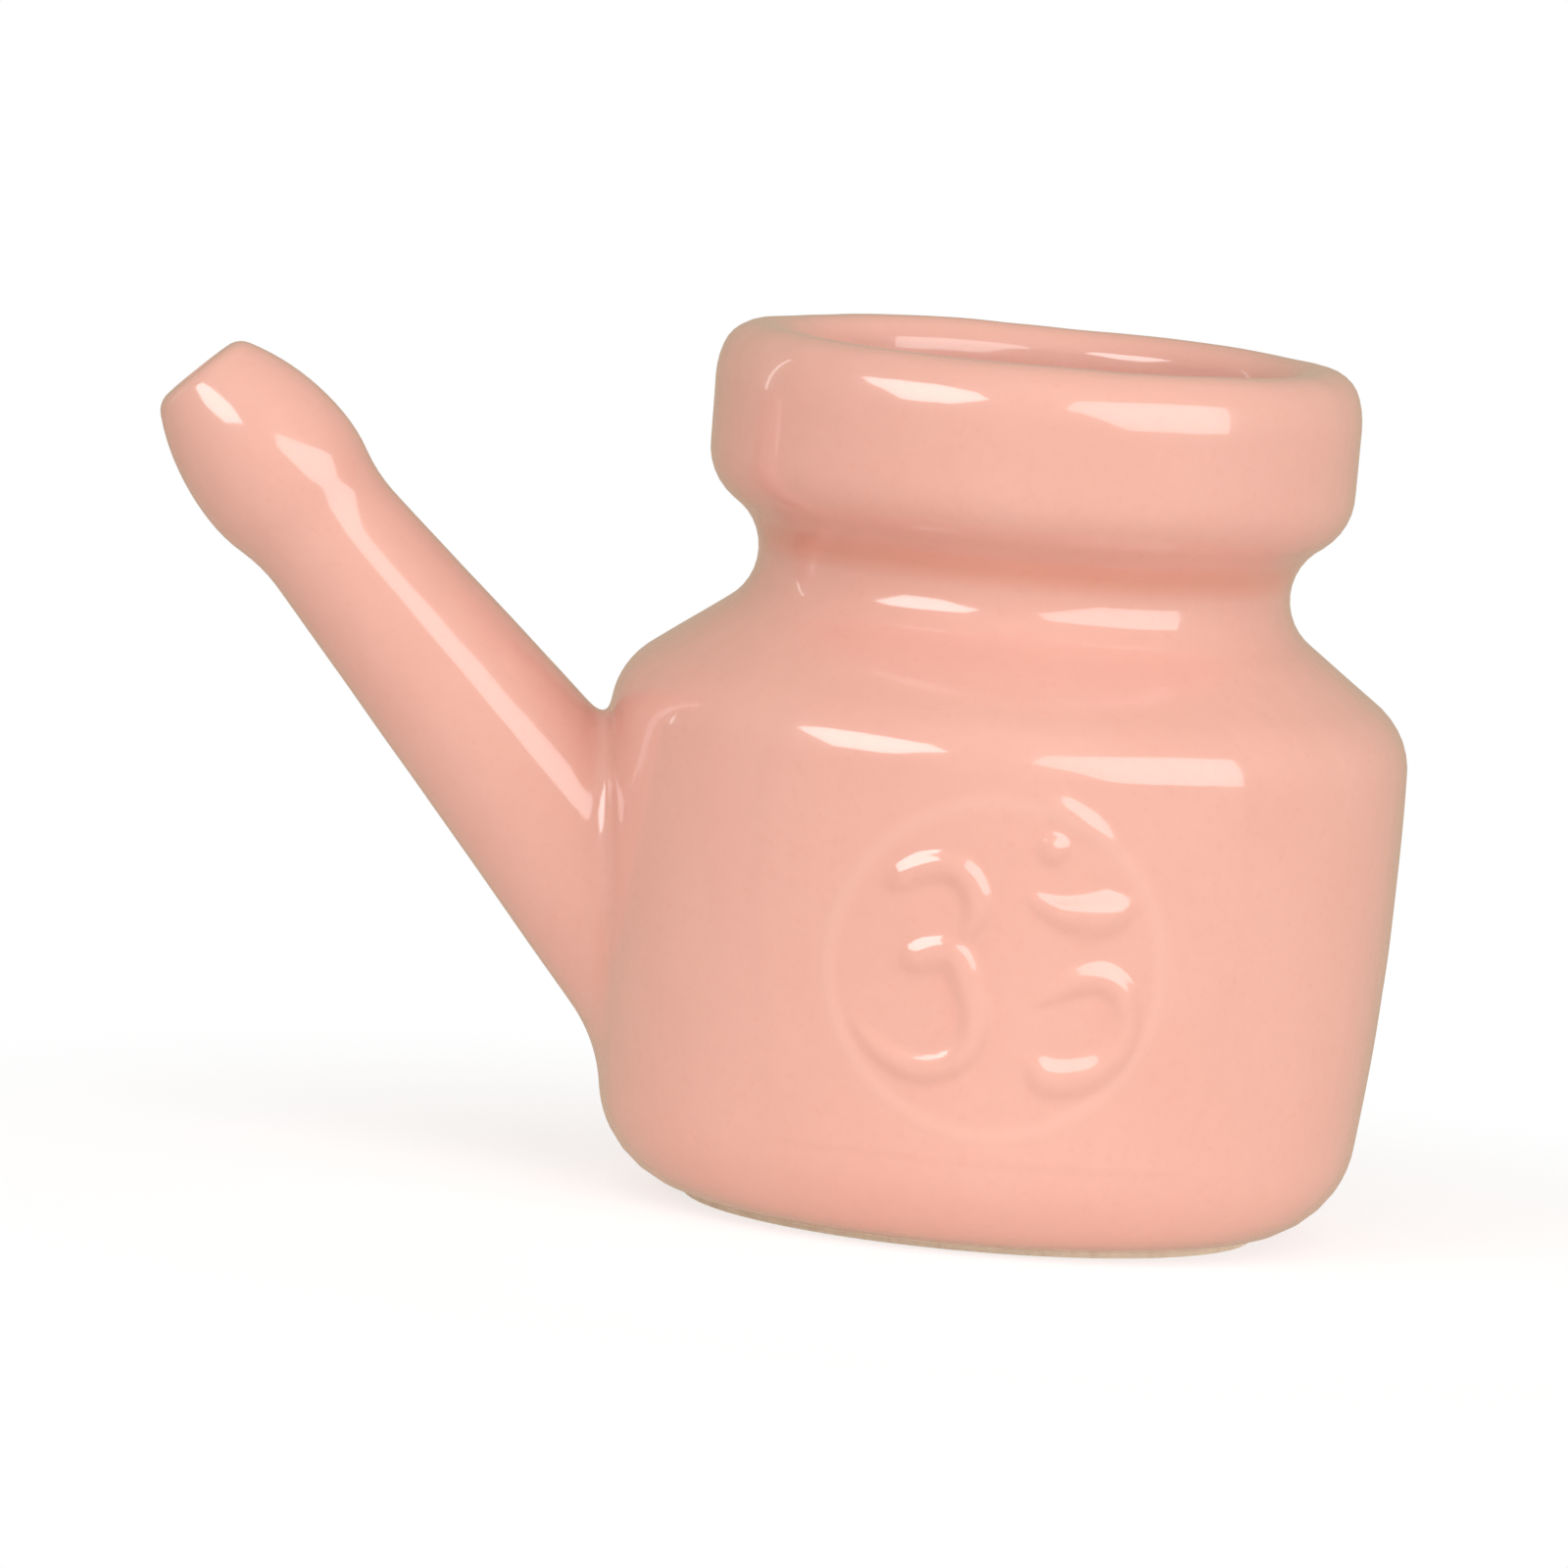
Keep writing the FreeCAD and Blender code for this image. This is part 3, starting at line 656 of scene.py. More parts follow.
def joined_gap(points, pot, spout, place_of, blends):
    """Distance to the pot and spout taken together, with the crease between them filled.

    The filling grows from the notch over the spout to the heel under it.
    """
    one = pot.gap(np.hypot(points[:, 0], points[:, 1]), points[:, 2])
    other = spout.gap(*place_of.measure(points))
    blend = np.interp(points[:, 2], (20.0, 52.0), (blends[1], blends[0]))
    near = np.maximum(blend - np.abs(one - other), 0) / blend
    return np.minimum(one, other) - near ** 2 * blend / 4


def settle(points, pot, spout, place_of, blends):
    """Moves points onto the joined surface."""
    for _ in range(12):
        value = joined_gap(points, pot, spout, place_of, blends)
        slope = np.empty_like(points)
        for k in range(3):
            nudge = np.zeros(3)
            nudge[k] = 0.02
            ahead = joined_gap(points + nudge, pot, spout, place_of, blends)
            behind = joined_gap(points - nudge, pot, spout, place_of, blends)
            slope[:, k] = (ahead - behind) / 0.04
        size = np.maximum((slope ** 2).sum(1), 0.2)
        points = points - slope * (value / size)[:, None]
    return points


def joint_rings(ring_along, loop, pot, spout, place_of, blends, counts):
    """Rings of points from a ring of the spout over the joint to a loop on the pot.

    Counts are the rings on the spout's side of the joint and on the pot's side.
    """
    number = len(loop)
    angle = 2 * np.pi * np.arange(number) / number
    low = np.full(number, ring_along)
    high = np.full(number, spout.along[-1])
    for _ in range(50):
        middle = (low + high) / 2
        spots = place_of.point(spout.at(middle), middle, angle)
        outside = pot.gap(np.hypot(spots[:, 0], spots[:, 1]), spots[:, 2]) > 0
        low = np.where(outside, middle, low)
        high = np.where(outside, high, middle)
    joint = place_of.point(spout.at(low), low, angle)
    rings = []
    for k in range(1, counts[0] + 1):
        share = 1 - (1 - k / counts[0]) ** 1.5
        along = ring_along + (low - ring_along) * share
        rings.append(place_of.point(spout.at(along), along, angle))
    start_turn = np.arctan2(joint[:, 1], -joint[:, 0])
    end_turn = np.arctan2(loop[:, 1], -loop[:, 0])
    for k in range(1, counts[1]):
        share = (k / counts[1]) ** 1.35
        turn = start_turn + (end_turn - start_turn) * share
        level = joint[:, 2] + (loop[:, 2] - joint[:, 2]) * share
        radius = pot.at(level)
        rings.append(np.column_stack([-radius * np.cos(turn), radius * np.sin(turn), level]))
    stack = np.array(rings)
    shape = stack.shape
    start = np.full(number, ring_along)
    first = place_of.point(spout.at(start), start, angle)
    stack = settle(stack.reshape(-1, 3), pot, spout, place_of, blends).reshape(shape)
    for _ in range(12):
        whole = np.concatenate([first[None], stack, loop[None]])
        spread = (whole[:-2] + whole[2:] + np.roll(stack, 1, axis=1) + np.roll(stack, -1, axis=1)) / 4
        eased = (stack * 0.5 + spread * 0.5).reshape(-1, 3)
        stack = settle(eased, pot, spout, place_of, blends).reshape(shape)
    return stack


def block_loop(lookup, steps, rows):
    """Point numbers round a block of the pot's grid, from its top middle towards +Y.

    Rows run from top to bottom.
    """
    first, last = steps
    middle = (first + last) // 2
    top, bottom = rows
    down = 1 if bottom > top else -1
    path = [(i, top) for i in range(middle, last)]
    path += [(last, j) for j in range(top, bottom, down)]
    path += [(i, bottom) for i in range(last, first, -1)]
    path += [(first, j) for j in range(bottom, top, -down)]
    path += [(i, top) for i in range(first, middle)]
    return [lookup[spot] for spot in path]


def cast_form(sizes, material):
    """The whole pot as one closed skin: turned body, turned spout and the joints between them."""
    path = body_outline(sizes)
    crest = int(np.argmax(path[:, 1]))
    steps = sizes.steps_around

    def outer_at(level):
        found = np.nonzero((path[:crest, 1] >= level) & (path[:crest, 0] > 33))[0]
        return int(found[0])

    def inner_at(level):
        return crest + int(np.nonzero(path[crest:, 1] <= level)[0][0])

    hole_rows = 40
    rows, at_stop = set_rows(path, [
        (0, 3.0, None),
        (outer_at(6.5), 1.0, hole_rows),
        (outer_at(60.4), 1.2, None),
        (crest, 1.8, None),
        (inner_at(47.5), 1.0, hole_rows),
        (inner_at(13.0), 3.0, None),
        (len(path) - 1, 1.0, None),
    ])
    outer_rows = (at_stop[2], at_stop[1])
    inner_rows = (at_stop[4], at_stop[5])
    tree = turned_tree()
    points, faces, around, along = turn_outline(
        "turned_body", tree, rows, steps, FRONT_CROWDING, material
    )
    lookup = {(int(i), int(j)): k for k, (i, j) in enumerate(zip(around, along))}
    even = 2 * np.pi * np.arange(steps) / steps
    turn = even + FRONT_CROWDING * np.sin(even)
    middle = int(np.argmin(np.abs(turn - 1.5 * np.pi)))
    reach = int(round(math.radians(BLOCK_REACH) / (turn[middle + 1] - turn[middle])))
    columns = (middle - reach, middle + reach)
    outer_loop = block_loop(lookup, columns, outer_rows)
    inner_loop = block_loop(lookup, columns, inner_rows)
    number = len(outer_loop)

    def in_block(face, pair):
        spots = [(int(around[v]), int(along[v])) for v in face]
        return all(
            columns[0] <= i <= columns[1] and min(pair) <= j <= max(pair) for i, j in spots
        )

    kept = [
        face for face in faces if not in_block(face, outer_rows) and not in_block(face, inner_rows)
    ]

    axis = SpoutFrame(sizes)
    spout_path = spout_outline(sizes)
    tip = int(np.argmin(spout_path[:, 1]))
    outer_turned, inner_turned = 50.0, 58.0
    outer_start = int(np.argmin(np.abs(spout_path[:tip, 1] - outer_turned)))
    inner_end = tip + int(np.argmin(np.abs(spout_path[tip:, 1] - inner_turned)))
    spout_rows, _ = set_rows(
        spout_path[outer_start:inner_end + 1],
        [(0, 1.3, None), (tip - outer_start, 1.6, None), (inner_end - outer_start, 1.0, None)],
    )
    local, spout_faces, step_of, row_of = turn_outline(
        "turned_spout", tree, spout_rows, number, 0.0, material
    )
    spout_points = (
        axis.tip + local[:, 2:3] * axis.axis + local[:, 1:2] * axis.over + local[:, 0:1] * axis.side
    )
    base = len(points)
    spout_lookup = {(int(i), int(j)): base + k for k, (i, j) in enumerate(zip(step_of, row_of))}
    all_points = [points, spout_points]
    all_faces = kept + [tuple(v + base for v in face) for face in spout_faces]
    total = base + len(spout_points)

    pot_outer = Skin(path[outer_at(2.0):outer_at(66.0)])
    pot_inner = Skin(path[inner_at(54.0):inner_at(6.2)])
    spout_outer = Skin(spout_path[:tip][spout_path[:tip, 1] > 30])
    spout_inner = Skin(spout_path[tip:][spout_path[tip:, 1] > 30])
    last_row = len(spout_rows) - 1
    slip = (sizes.notch_blend / MM, sizes.heel_blend / MM)
    inner_slip = (1.6, 1.6)
    joints = [
        (outer_loop, 0, pot_outer, spout_outer, slip, (26, 14)),
        (inner_loop, last_row, pot_inner, spout_inner, inner_slip, (16, 12)),
    ]
    for loop, row, pot, spout, blends, counts in joints:
        spots = np.array([points[v] for v in loop])
        ring_along = float(spout_rows[row, 1])
        rings = joint_rings(ring_along, spots, pot, spout, axis, blends, counts)
        chain = [[spout_lookup[(k, row)] for k in range(number)]]
        for ring in rings:
            chain.append([total + k for k in range(number)])
            total += number
            all_points.append(ring)
        chain.append(list(loop))
        for one, other in zip(chain[:-1], chain[1:]):
            for k in range(number):
                after = (k + 1) % number
                all_faces.append((one[k], one[after], other[after], other[k]))
    return np.vstack(all_points), all_faces, pot_outer


def refine_front(mesh, skin, medallion):
    """Makes the wall finer where the medallion stands, on the true turned surface."""
    shape = bmesh.new()
    shape.from_mesh(mesh)
    loose = [v for v in shape.verts if not v.link_faces]
    bmesh.ops.delete(shape, geom=loose, context="VERTS")
    margin = 0.0032
    reach = medallion.ring_radius + margin
    chosen = set()
    for face in shape.faces:
        spot = face.calc_center_median()
        radius = math.hypot(spot.x, spot.y)
        across = abs(spot.x) < reach and abs(spot.z - medallion.centre_height) < reach
        if spot.y < 0 and radius > OUTER_SKIN and across:
            chosen.update(face.edges)
    made = bmesh.ops.subdivide_edges(shape, edges=list(chosen), cuts=2, use_grid_fill=True)
    for vertex in made["geom_inner"]:
        if not isinstance(vertex, bmesh.types.BMVert):
            continue
        flat = math.hypot(vertex.co.x, vertex.co.y)
        wanted = float(skin.at(vertex.co.z / MM)) * MM
        vertex.co.x *= wanted / flat
        vertex.co.y *= wanted / flat
    bmesh.ops.recalc_face_normals(shape, faces=shape.faces)
    if shape.calc_volume(signed=True) < 0:
        bmesh.ops.reverse_faces(shape, faces=shape.faces)
    open_edges = [edge for edge in shape.edges if len(edge.link_faces) != 2]
    if open_edges:
        raise RuntimeError("the skin is open at %d edges" % len(open_edges))
    shape.to_mesh(mesh)
    shape.free()
    mesh.shade_smooth()


def distance_run(points):
    """How far along a line each of its points is."""
    return np.concatenate([[0.0], np.cumsum(np.linalg.norm(np.diff(points, axis=0), axis=1))])


def smooth_line(points, grain):
    """Points at even steps on a smooth curve through given ones (a Catmull-Rom spline)."""
    given = np.array(points, float)
    if len(given) == 1:
        return given
    ends = np.vstack([2 * given[0] - given[1], given, 2 * given[-1] - given[-2]])
    fine = []
    for k in range(1, len(ends) - 2):
        before, first, last, after = ends[k - 1:k + 3]
        for share in np.linspace(0, 1, 40, endpoint=False):
            fine.append(0.5 * (
                2 * first + (last - before) * share
                + (2 * before - 5 * first + 4 * last - after) * share ** 2
                + (3 * first - before - 3 * last + after) * share ** 3
            ))
    fine.append(given[-1])
    fine = np.array(fine)
    run = distance_run(fine[:, :2])
    even = np.linspace(0, run[-1], max(2, int(run[-1] / grain)))
    return np.column_stack([np.interp(even, run, fine[:, k]) for k in range(3)])


def stroke_guides(medallion, skin):
    """Lines on the wall that the strokes follow, with their half widths and rises."""
    guides = {}
    for name, points in STROKES.items():
        line = smooth_line(points, 0.008)
        flat = line[:, :2] * medallion.ring_radius / MM
        level = flat[:, 1] + medallion.centre_height / MM
        radius = skin.at(level)
        spots = np.column_stack([flat[:, 0], -np.sqrt(radius ** 2 - flat[:, 0] ** 2), level]) * MM
        half = line[:, 2] * medallion.stroke_width / 2
        height = medallion.flow_rise if name == "flow_mark" else medallion.stroke_rise
        rise = line[:, 2] ** np.where(line[:, 2] < 1, 1.5, 0.6) * height
        if len(line) > 1:
            run = distance_run(spots)
            fade = medallion.stroke_width * 0.45
            end = np.clip(np.minimum(run, run[-1] - run) / fade, 0, 1)
            rise = rise * (0.45 + 0.55 * np.sin(end * np.pi / 2))
        guides[name] = guide(name, spots, half_width=half, rise=rise)
    return guides


def mark_glaze(mesh, medallion):
    """Notes on each point how thin the glaze runs over an edge, and how much deeper glaze and painted
    shade a hollow gets.

    The bend is the surface's curvature per metre, below zero on an edge, evened out over its
    neighbours. The deeper glaze is partly glaze gathered in a hollow and partly painted shade: it goes
    only where the surface hangs over, well above the foot.
    """
    count = len(mesh.vertices)
    spots = np.zeros(count * 3)
    normals = np.zeros(count * 3)
    mesh.vertices.foreach_get("co", spots)
    mesh.vertices.foreach_get("normal", normals)
    spots = spots.reshape(-1, 3)
    normals = normals.reshape(-1, 3)
    edges = np.zeros(len(mesh.edges) * 2, np.int32)
    mesh.edges.foreach_get("vertices", edges)
    one, other = edges.reshape(-1, 2).T
    away = spots[other] - spots[one]
    size = np.maximum((away ** 2).sum(1), 1e-12)
    bend = np.zeros(count)
    links = np.zeros(count)
    np.add.at(bend, one, 2 * (normals[one] * away).sum(1) / size)
    np.add.at(bend, other, -2 * (normals[other] * away).sum(1) / size)
    np.add.at(links, one, 1)
    np.add.at(links, other, 1)
    bend /= np.maximum(links, 1)
    for _ in range(40):
        total = np.bincount(one, bend[other], count) + np.bincount(other, bend[one], count)
        bend = 0.35 * bend + 0.65 * total / np.maximum(links, 1)
    above_foot = np.clip((spots[:, 2] - 0.010) / 0.020, 0, 1)
    # Painted shade: the deeper, redder glaze is kept to surfaces that face downward, where shade falls
    # under the collar and under the strokes
    hangs = np.clip(-0.08 - 2.5 * normals[:, 2], 0, 1)
    from_centre = np.hypot(spots[:, 0], spots[:, 2] - medallion.centre_height)
    off_crest = (from_centre - medallion.ring_radius) / (medallion.ring_width * 0.30)
    on_ring = np.exp(-off_crest ** 2)
    on_ring[(spots[:, 1] > 0) | (np.hypot(spots[:, 0], spots[:, 1]) < 0.042)] = 0
    thin_from, thin_over = 40, 240
    pool_from, pool_over = 8, 34
    thin = np.clip(np.clip((-bend - thin_from) / thin_over, 0, 1) + 0.6 * on_ring, 0, 1)
    pooled_and_shade = np.clip((bend - pool_from) / pool_over, 0, 1) * above_foot * hangs
    store_numbers(mesh, "thin_glaze", thin)
    store_numbers(mesh, "pooled_glaze_and_shade", pooled_and_shade)


# Finishes

def blend(tree, share, first, second, kind="Color"):
    """Mixes two colours or two numbers, as sockets or values."""
    node = tree.nodes.new("ShaderNodeMix")
    node.data_type = "RGBA" if kind == "Color" else "FLOAT"
    for label, value in (("Factor_Float", share), ("A_" + kind, first), ("B_" + kind, second)):
        feed(tree, next(s for s in node.inputs if s.identifier == label), value)
    return next(s for s in node.outputs if s.identifier == "Result_" + kind)


def point_number(tree, name):
    """A number stored on the mesh."""
    node = tree.nodes.new("ShaderNodeAttribute")
    node.attribute_name = name
    return node.outputs["Fac"]


def grain_noise(tree, spot, scale, detail=2.0, roughness=0.5):
    """A fixed noise at a scale in waves per metre."""
    node = place(tree, "ShaderNodeTexNoise", Vector=spot, Scale=scale, Detail=detail, Roughness=roughness)
    return node.outputs[0]


def rgba(colour):
    return (*colour, 1.0)


def pink_glaze(colours):
    """Glossy salmon glaze over cream clay, bare under the foot."""
    material = bpy.data.materials.new("pink_glaze")
    material.use_nodes = True
    tree = material.node_tree
    shader = tree.nodes["Principled BSDF"]
    spot = tree.nodes.new("ShaderNodeTexCoord").outputs["Object"]
    apart = place(tree, "ShaderNodeSeparateXYZ", Vector=spot)
    cloud = grain_noise(tree, spot, 55.0, 3.0)
    speckle = grain_noise(tree, spot, 900.0, 3.0, 0.6)
    ripple = grain_noise(tree, spot, 140.0, 2.0)
    mottle = grain_noise(tree, spot, 420.0, 2.5, 0.6)
    thin = calc(tree, "MULTIPLY", point_number(tree, "thin_glaze"), 0.75)
    pooled_and_shade = calc(tree, "MULTIPLY", point_number(tree, "pooled_glaze_and_shade"), 0.80)
    drift = scale_range(tree, cloud, 0.30, 0.72, 0.0, 0.22)
    specks = scale_range(tree, speckle, 0.50, 0.80, 0.0, 0.12)
    cells = scale_range(tree, mottle, 0.34, 0.66, 0.0, 0.04)
    deeper = tuple(c * 0.72 for c in colours.glaze)
    colour = blend(tree, drift, rgba(colours.glaze), rgba(colours.thin_glaze))
    colour = blend(tree, specks, colour, rgba(colours.pooled_glaze_and_shade))
    colour = blend(tree, cells, colour, rgba(deeper))
    colour = blend(tree, thin, colour, rgba(colours.thin_glaze))
    # Painted shade with pooled glaze: hollows that hang over turn darker and redder
    colour = blend(tree, pooled_and_shade, colour, rgba(colours.pooled_glaze_and_shade))

    pin = tree.nodes.new("ShaderNodeTexVoronoi")
    pin.feature = "F1"
    feed(tree, pin.inputs["Vector"], spot)
    pin.inputs["Scale"].default_value = 42.0
    hole = scale_range(tree, pin.outputs["Distance"], 0.0, 0.016, 1.0, 0.0)
    pin_colour = (0.30, 0.12, 0.08)
    colour = blend(tree, calc(tree, "MULTIPLY", hole, 0.55), colour, rgba(pin_colour))

    flat = place(tree, "ShaderNodeCombineXYZ", X=apart.outputs["X"], Y=apart.outputs["Y"])
    radius = vector_calc(tree, "LENGTH", flat.outputs[0])
    uneven = calc(tree, "MULTIPLY", calc(tree, "SUBTRACT", ripple, 0.5), 0.0012)
    edge = calc(tree, "ADD", radius, uneven)
    inside_foot = scale_range(tree, edge, 0.0330, 0.0334, 1.0, 0.0)
    at_table = scale_range(tree, apart.outputs["Z"], 0.0007, 0.0010, 1.0, 0.0)
    under = calc(tree, "MULTIPLY", inside_foot, at_table)
    stains = scale_range(tree, speckle, 0.35, 0.75, 0.0, 0.35)
    stain_colour = (0.62, 0.47, 0.33)
    clay = blend(tree, stains, rgba(colours.bare_clay), rgba(stain_colour))
    feed(tree, shader.inputs["Base Color"], blend(tree, under, colour, clay))
    sheen = scale_range(tree, cloud, 0.3, 0.7, 0.17, 0.24)
    feed(tree, shader.inputs["Roughness"], blend(tree, under, sheen, 0.85, "Float"))
    feed(tree, shader.inputs["Coat Weight"], calc(tree, "SUBTRACT", 1.0, under))
    shader.inputs["Coat Roughness"].default_value = 0.045
    shader.inputs["Coat IOR"].default_value = 1.5
    shader.inputs["IOR"].default_value = 1.45
    bump = place(tree, "ShaderNodeBump", Strength=0.35, Distance=0.00008)
    grit = calc(tree, "MULTIPLY", speckle, calc(tree, "MULTIPLY", under, 3.0))
    wave = calc(tree, "ADD", ripple, grit)
    height = calc(tree, "SUBTRACT", wave, calc(tree, "MULTIPLY", hole, 0.8))
    feed(tree, bump.inputs["Height"], height)
    feed(tree, shader.inputs["Normal"], bump.outputs[0])
    return material


def glowing_cloth(name, strength):
    """The even glow of a lit panel's cloth."""
    material = bpy.data.materials.new(name)
    material.use_nodes = True
    tree = material.node_tree
    tree.nodes.remove(tree.nodes["Principled BSDF"])
    glow = place(tree, "ShaderNodeEmission", Strength=strength)
    tree.links.new(glow.outputs[0], tree.nodes["Material Output"].inputs["Surface"])
    return material


def pale_floor(colours):
    """Matt pale paper that runs out into a white sweep, with painted light near the pot and painted shade
    further out.
    """
    material = bpy.data.materials.new("pale_floor")
    material.use_nodes = True
    tree = material.node_tree
    shader = tree.nodes["Principled BSDF"]
    spot = tree.nodes.new("ShaderNodeTexCoord").outputs["Object"]
    tooth = grain_noise(tree, spot, 6.0, 2.0)
    darker = tuple(c * 0.985 for c in colours.floor)
    paper = blend(tree, tooth, rgba(colours.floor), rgba(darker))
    feed(tree, shader.inputs["Roughness"], scale_range(tree, tooth, 0.2, 0.8, 0.86, 0.94))
    shader.inputs["Specular IOR Level"].default_value = 0.15
    shader.inputs["Emission Color"].default_value = rgba(colours.floor)
    apart = place(tree, "ShaderNodeSeparateXYZ", Vector=spot)
    flat = place(tree, "ShaderNodeCombineXYZ", X=apart.outputs["X"], Y=apart.outputs["Y"])
    distance = vector_calc(tree, "LENGTH", flat.outputs[0])
    # Painted shade: further out the paper turns darker, so less bounced light reaches the pot's
    # undersides; the camera sees the white sweep there
    dimmer = tuple(c * 0.45 for c in colours.floor)
    paper = blend(tree, scale_range(tree, distance, 0.10, 0.45), paper, rgba(dimmer))
    # Painted light: near the pot the paper glows, lifting its shadow and lighting the pot's base from
    # below
    glow = scale_range(tree, distance, 0.05, 0.20, 0.22, 0.0)
    feed(tree, shader.inputs["Base Color"], paper)
    feed(tree, shader.inputs["Emission Strength"], glow)
    far = scale_range(tree, distance, 0.05, 0.15, 0.60, 1.0)
    seen = tree.nodes.new("ShaderNodeLightPath").outputs["Is Camera Ray"]
    white = tree.nodes.new("ShaderNodeEmission")
    sweep = tree.nodes.new("ShaderNodeMixShader")
    tree.links.new(calc(tree, "MULTIPLY", far, seen), sweep.inputs[0])
    tree.links.new(shader.outputs[0], sweep.inputs[1])
    tree.links.new(white.outputs[0], sweep.inputs[2])
    tree.links.new(sweep.outputs[0], tree.nodes["Material Output"].inputs["Surface"])
    return material


# Operators

class NETI_OT_cast_pot(bpy.types.Operator):
    """Cast the pot with its spout, mould the medallion and glaze it."""

    bl_idname = "neti.cast_pot"
    bl_label = "Cast Pot"

    def execute(self, context):
        sizes = context.scene.neti_sizes
        medallion = context.scene.neti_medallion
        material = pink_glaze(context.scene.neti_colours)
        points, faces, skin = cast_form(sizes, material)
        mesh = bpy.data.meshes.new("cast_skin")
        mesh.from_pydata([tuple(p) for p in points * MM], [], faces)
        mesh.validate()
        refine_front(mesh, skin, medallion)
        guides = stroke_guides(medallion, skin)
        values = dict(guides)
        values.update({
            "Centre Height": medallion.centre_height,
            "Ring Radius": medallion.ring_radius,
            "Ring Width": medallion.ring_width,
            "Ring Rise": medallion.ring_rise,
            "Wobble": sizes.hand_wobble,
            "Lip Wobble": sizes.lip_wobble,
            "Lip Height": sizes.pot_height,
            "Material": material,
        })
        glazed = run_tree("moulded_pot", relief_tree(list(guides)), mesh, values)
        for line in guides.values():
            bpy.data.objects.remove(line)
        glazed.shade_smooth()
        mark_glaze(glazed, medallion)
        pot = bpy.data.objects.new("glazed_pot", glazed)
        context.scene.collection.objects.link(pot)
        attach(pot, "root")
        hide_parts("neti_pot")
        return {"FINISHED"}


def toward_light(azimuth, elevation):
    """The direction from the pot to a light; azimuth 0 is the camera's side."""
    turn = math.radians(azimuth)
    rise = math.radians(elevation)
    level = math.cos(rise)
    return Vector((math.sin(turn) * level, -math.cos(turn) * level, math.sin(rise)))


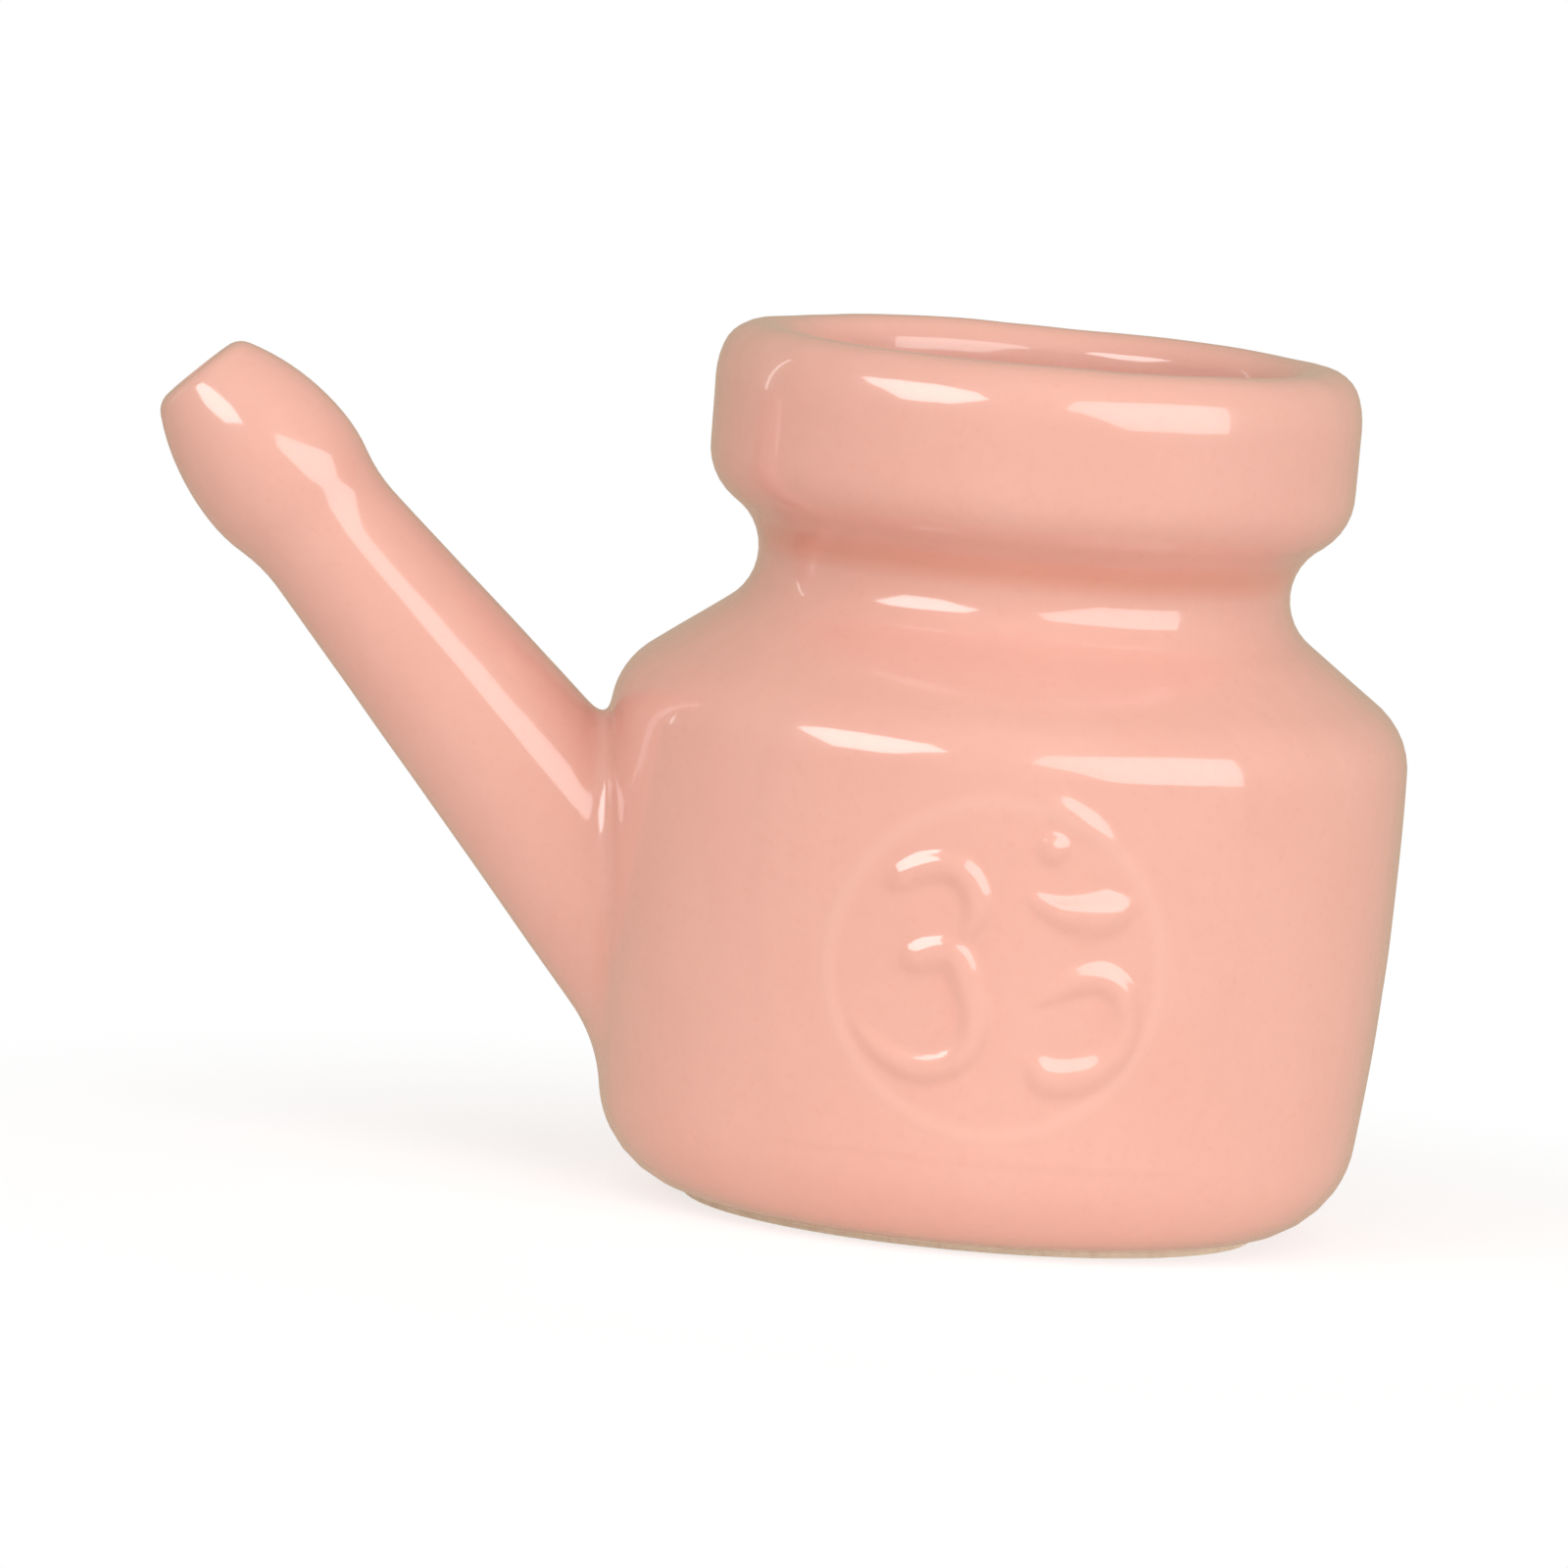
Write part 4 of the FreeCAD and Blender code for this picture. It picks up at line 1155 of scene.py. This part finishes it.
class NETI_OT_stage(bpy.types.Operator):
    """Lay the floor, set the lights and place the camera."""

    bl_idname = "neti.stage"
    bl_label = "Set Stage"

    def execute(self, context):
        settings = context.scene.neti_stage
        self.lay_floor(context)
        self.panel(context, "left_panel", -43.5, 25, LEFT_PANEL, settings.left_light)
        self.panel(context, "right_panel", 40, 20.5, RIGHT_PANEL, settings.right_light)
        self.softbox(context, "right_fill", 108, 16, 1.10, 0.60, settings.right_fill, False)
        self.softbox(context, "front_fill", 0, 50, 1.00, 0.60, settings.front_fill, False)
        self.softbox(context, "left_strip", -112, 14, 0.03, 0.50, settings.edge_light)
        self.light_room(context, settings)
        context.scene.view_settings.view_transform = "Standard"
        self.place_camera(context, settings)
        return {"FINISHED"}

    def light_room(self, context, settings):
        """A dim, even room with a white backdrop."""
        world = bpy.data.worlds.new("white_room")
        context.scene.world = world
        world.use_nodes = True
        tree = world.node_tree
        room = tree.nodes["Background"]
        ray = tree.nodes.new("ShaderNodeLightPath")
        mirrored = ray.outputs["Is Glossy Ray"]
        warm = (1.0, 0.90, 0.83)
        warmer = (1.0, 0.78, 0.58)
        feed(tree, room.inputs["Color"], blend(tree, mirrored, rgba(warm), rgba(warmer)))
        backdrop = calc(tree, "MULTIPLY", ray.outputs["Is Camera Ray"], 1.2)
        level = calc(tree, "MAXIMUM", backdrop, settings.room_light)
        level = calc(tree, "MAXIMUM", level, calc(tree, "MULTIPLY", mirrored, 0.52))
        tree.links.new(level, room.inputs["Strength"])

    def lay_floor(self, context):
        """A round of pale paper, large enough for every view."""
        mesh = bpy.data.meshes.new("floor")
        shape = bmesh.new()
        bmesh.ops.create_circle(shape, cap_ends=True, segments=96, radius=9.0)
        shape.to_mesh(mesh)
        shape.free()
        mesh.materials.append(pale_floor(context.scene.neti_colours))
        floor = bpy.data.objects.new("floor", mesh)
        context.scene.collection.objects.link(floor)
        floor.visible_glossy = False

    def panel(self, context, name, azimuth, elevation, corners, power):
        """A glowing cloth, its corners given in metres across and up from its middle."""
        turn = math.radians(azimuth)
        toward = toward_light(azimuth, elevation)
        across = Vector((math.cos(turn), math.sin(turn), 0))
        middle = LIGHTS_AIM + toward * LIGHTS_AWAY
        upward = across.cross(toward) * -1.0
        mesh = bpy.data.meshes.new(name)
        places = [middle + across * x + upward * z for x, z in corners]
        mesh.from_pydata(places, [], [tuple(range(len(places)))])
        area = mesh.polygons[0].area
        mesh.materials.append(glowing_cloth(name, power / (math.pi * area)))
        holder = bpy.data.objects.new(name, mesh)
        context.scene.collection.objects.link(holder)

    def softbox(self, context, name, azimuth, elevation, width, height, power, mirrored=True):
        """A rectangular light that looks at the pot, mirrored in the glaze or not."""
        lamp = bpy.data.lights.new(name, "AREA")
        lamp.shape = "RECTANGLE"
        lamp.size = width
        lamp.size_y = height
        lamp.energy = power
        toward = toward_light(azimuth, elevation)
        holder = bpy.data.objects.new(name, lamp)
        holder.location = LIGHTS_AIM + toward * LIGHTS_AWAY
        holder.rotation_euler = toward.to_track_quat("Z", "Y").to_euler()
        holder.visible_glossy = mirrored
        context.scene.collection.objects.link(holder)

    def place_camera(self, context, settings):
        """The photograph's view: its angle, roll and framing."""
        rise = settings.camera_height
        roll = settings.camera_roll
        right = Vector((1, 0, 0))
        up = Vector((0, math.sin(rise), math.cos(rise)))
        back = Vector((0, -math.cos(rise), math.sin(rise)))
        middle = Vector((0, 0, 0.049))
        aside, above = -0.02466, -0.00258
        target = middle + right * aside + up * above
        across = right * math.cos(roll) + up * math.sin(roll)
        over = up * math.cos(roll) - right * math.sin(roll)
        lens = bpy.data.cameras.new("photo_camera")
        lens.sensor_width = 36.0
        lens.lens = 321.3
        lens.clip_start = 0.05
        lens.clip_end = 60.0
        camera = bpy.data.objects.new("photo_camera", lens)
        pose = Matrix((across, over, back)).transposed().to_4x4()
        pose.translation = target + back * settings.camera_distance
        camera.matrix_world = pose
        context.scene.collection.objects.link(camera)
        context.scene.camera = camera


class NETI_PT_panel(bpy.types.Panel):
    """Sizes, colours and steps of the neti pot."""

    bl_idname = "NETI_PT_panel"
    bl_label = "Neti Pot"
    bl_space_type = "VIEW_3D"
    bl_region_type = "UI"
    bl_category = "Neti Pot"

    def draw(self, context):
        scene = context.scene
        for title, group in (
            ("Sizes", scene.neti_sizes),
            ("Medallion", scene.neti_medallion),
            ("Colours", scene.neti_colours),
            ("Stage", scene.neti_stage),
        ):
            box = self.layout.box()
            box.label(text=title)
            for name in group.bl_rna.properties.keys():
                if name not in ("rna_type", "name"):
                    box.prop(group, name)
        for operator in (NETI_OT_cast_pot, NETI_OT_stage):
            self.layout.operator(operator.bl_idname)


CLASSES = (
    PotSizes,
    MedallionSizes,
    PotColours,
    StageSettings,
    NETI_OT_cast_pot,
    NETI_OT_stage,
    NETI_PT_panel,
)
GROUPS = {
    "neti_sizes": PotSizes,
    "neti_medallion": MedallionSizes,
    "neti_colours": PotColours,
    "neti_stage": StageSettings,
}


def register():
    for item in CLASSES:
        bpy.utils.register_class(item)
    for name, group in GROUPS.items():
        setattr(bpy.types.Scene, name, PointerProperty(type=group))


def unregister():
    for name in GROUPS:
        delattr(bpy.types.Scene, name)
    for item in reversed(CLASSES):
        bpy.utils.unregister_class(item)


def main():
    register()
    bpy.ops.neti.cast_pot()
    bpy.ops.neti.stage()


if __name__ == "__main__":
    main()
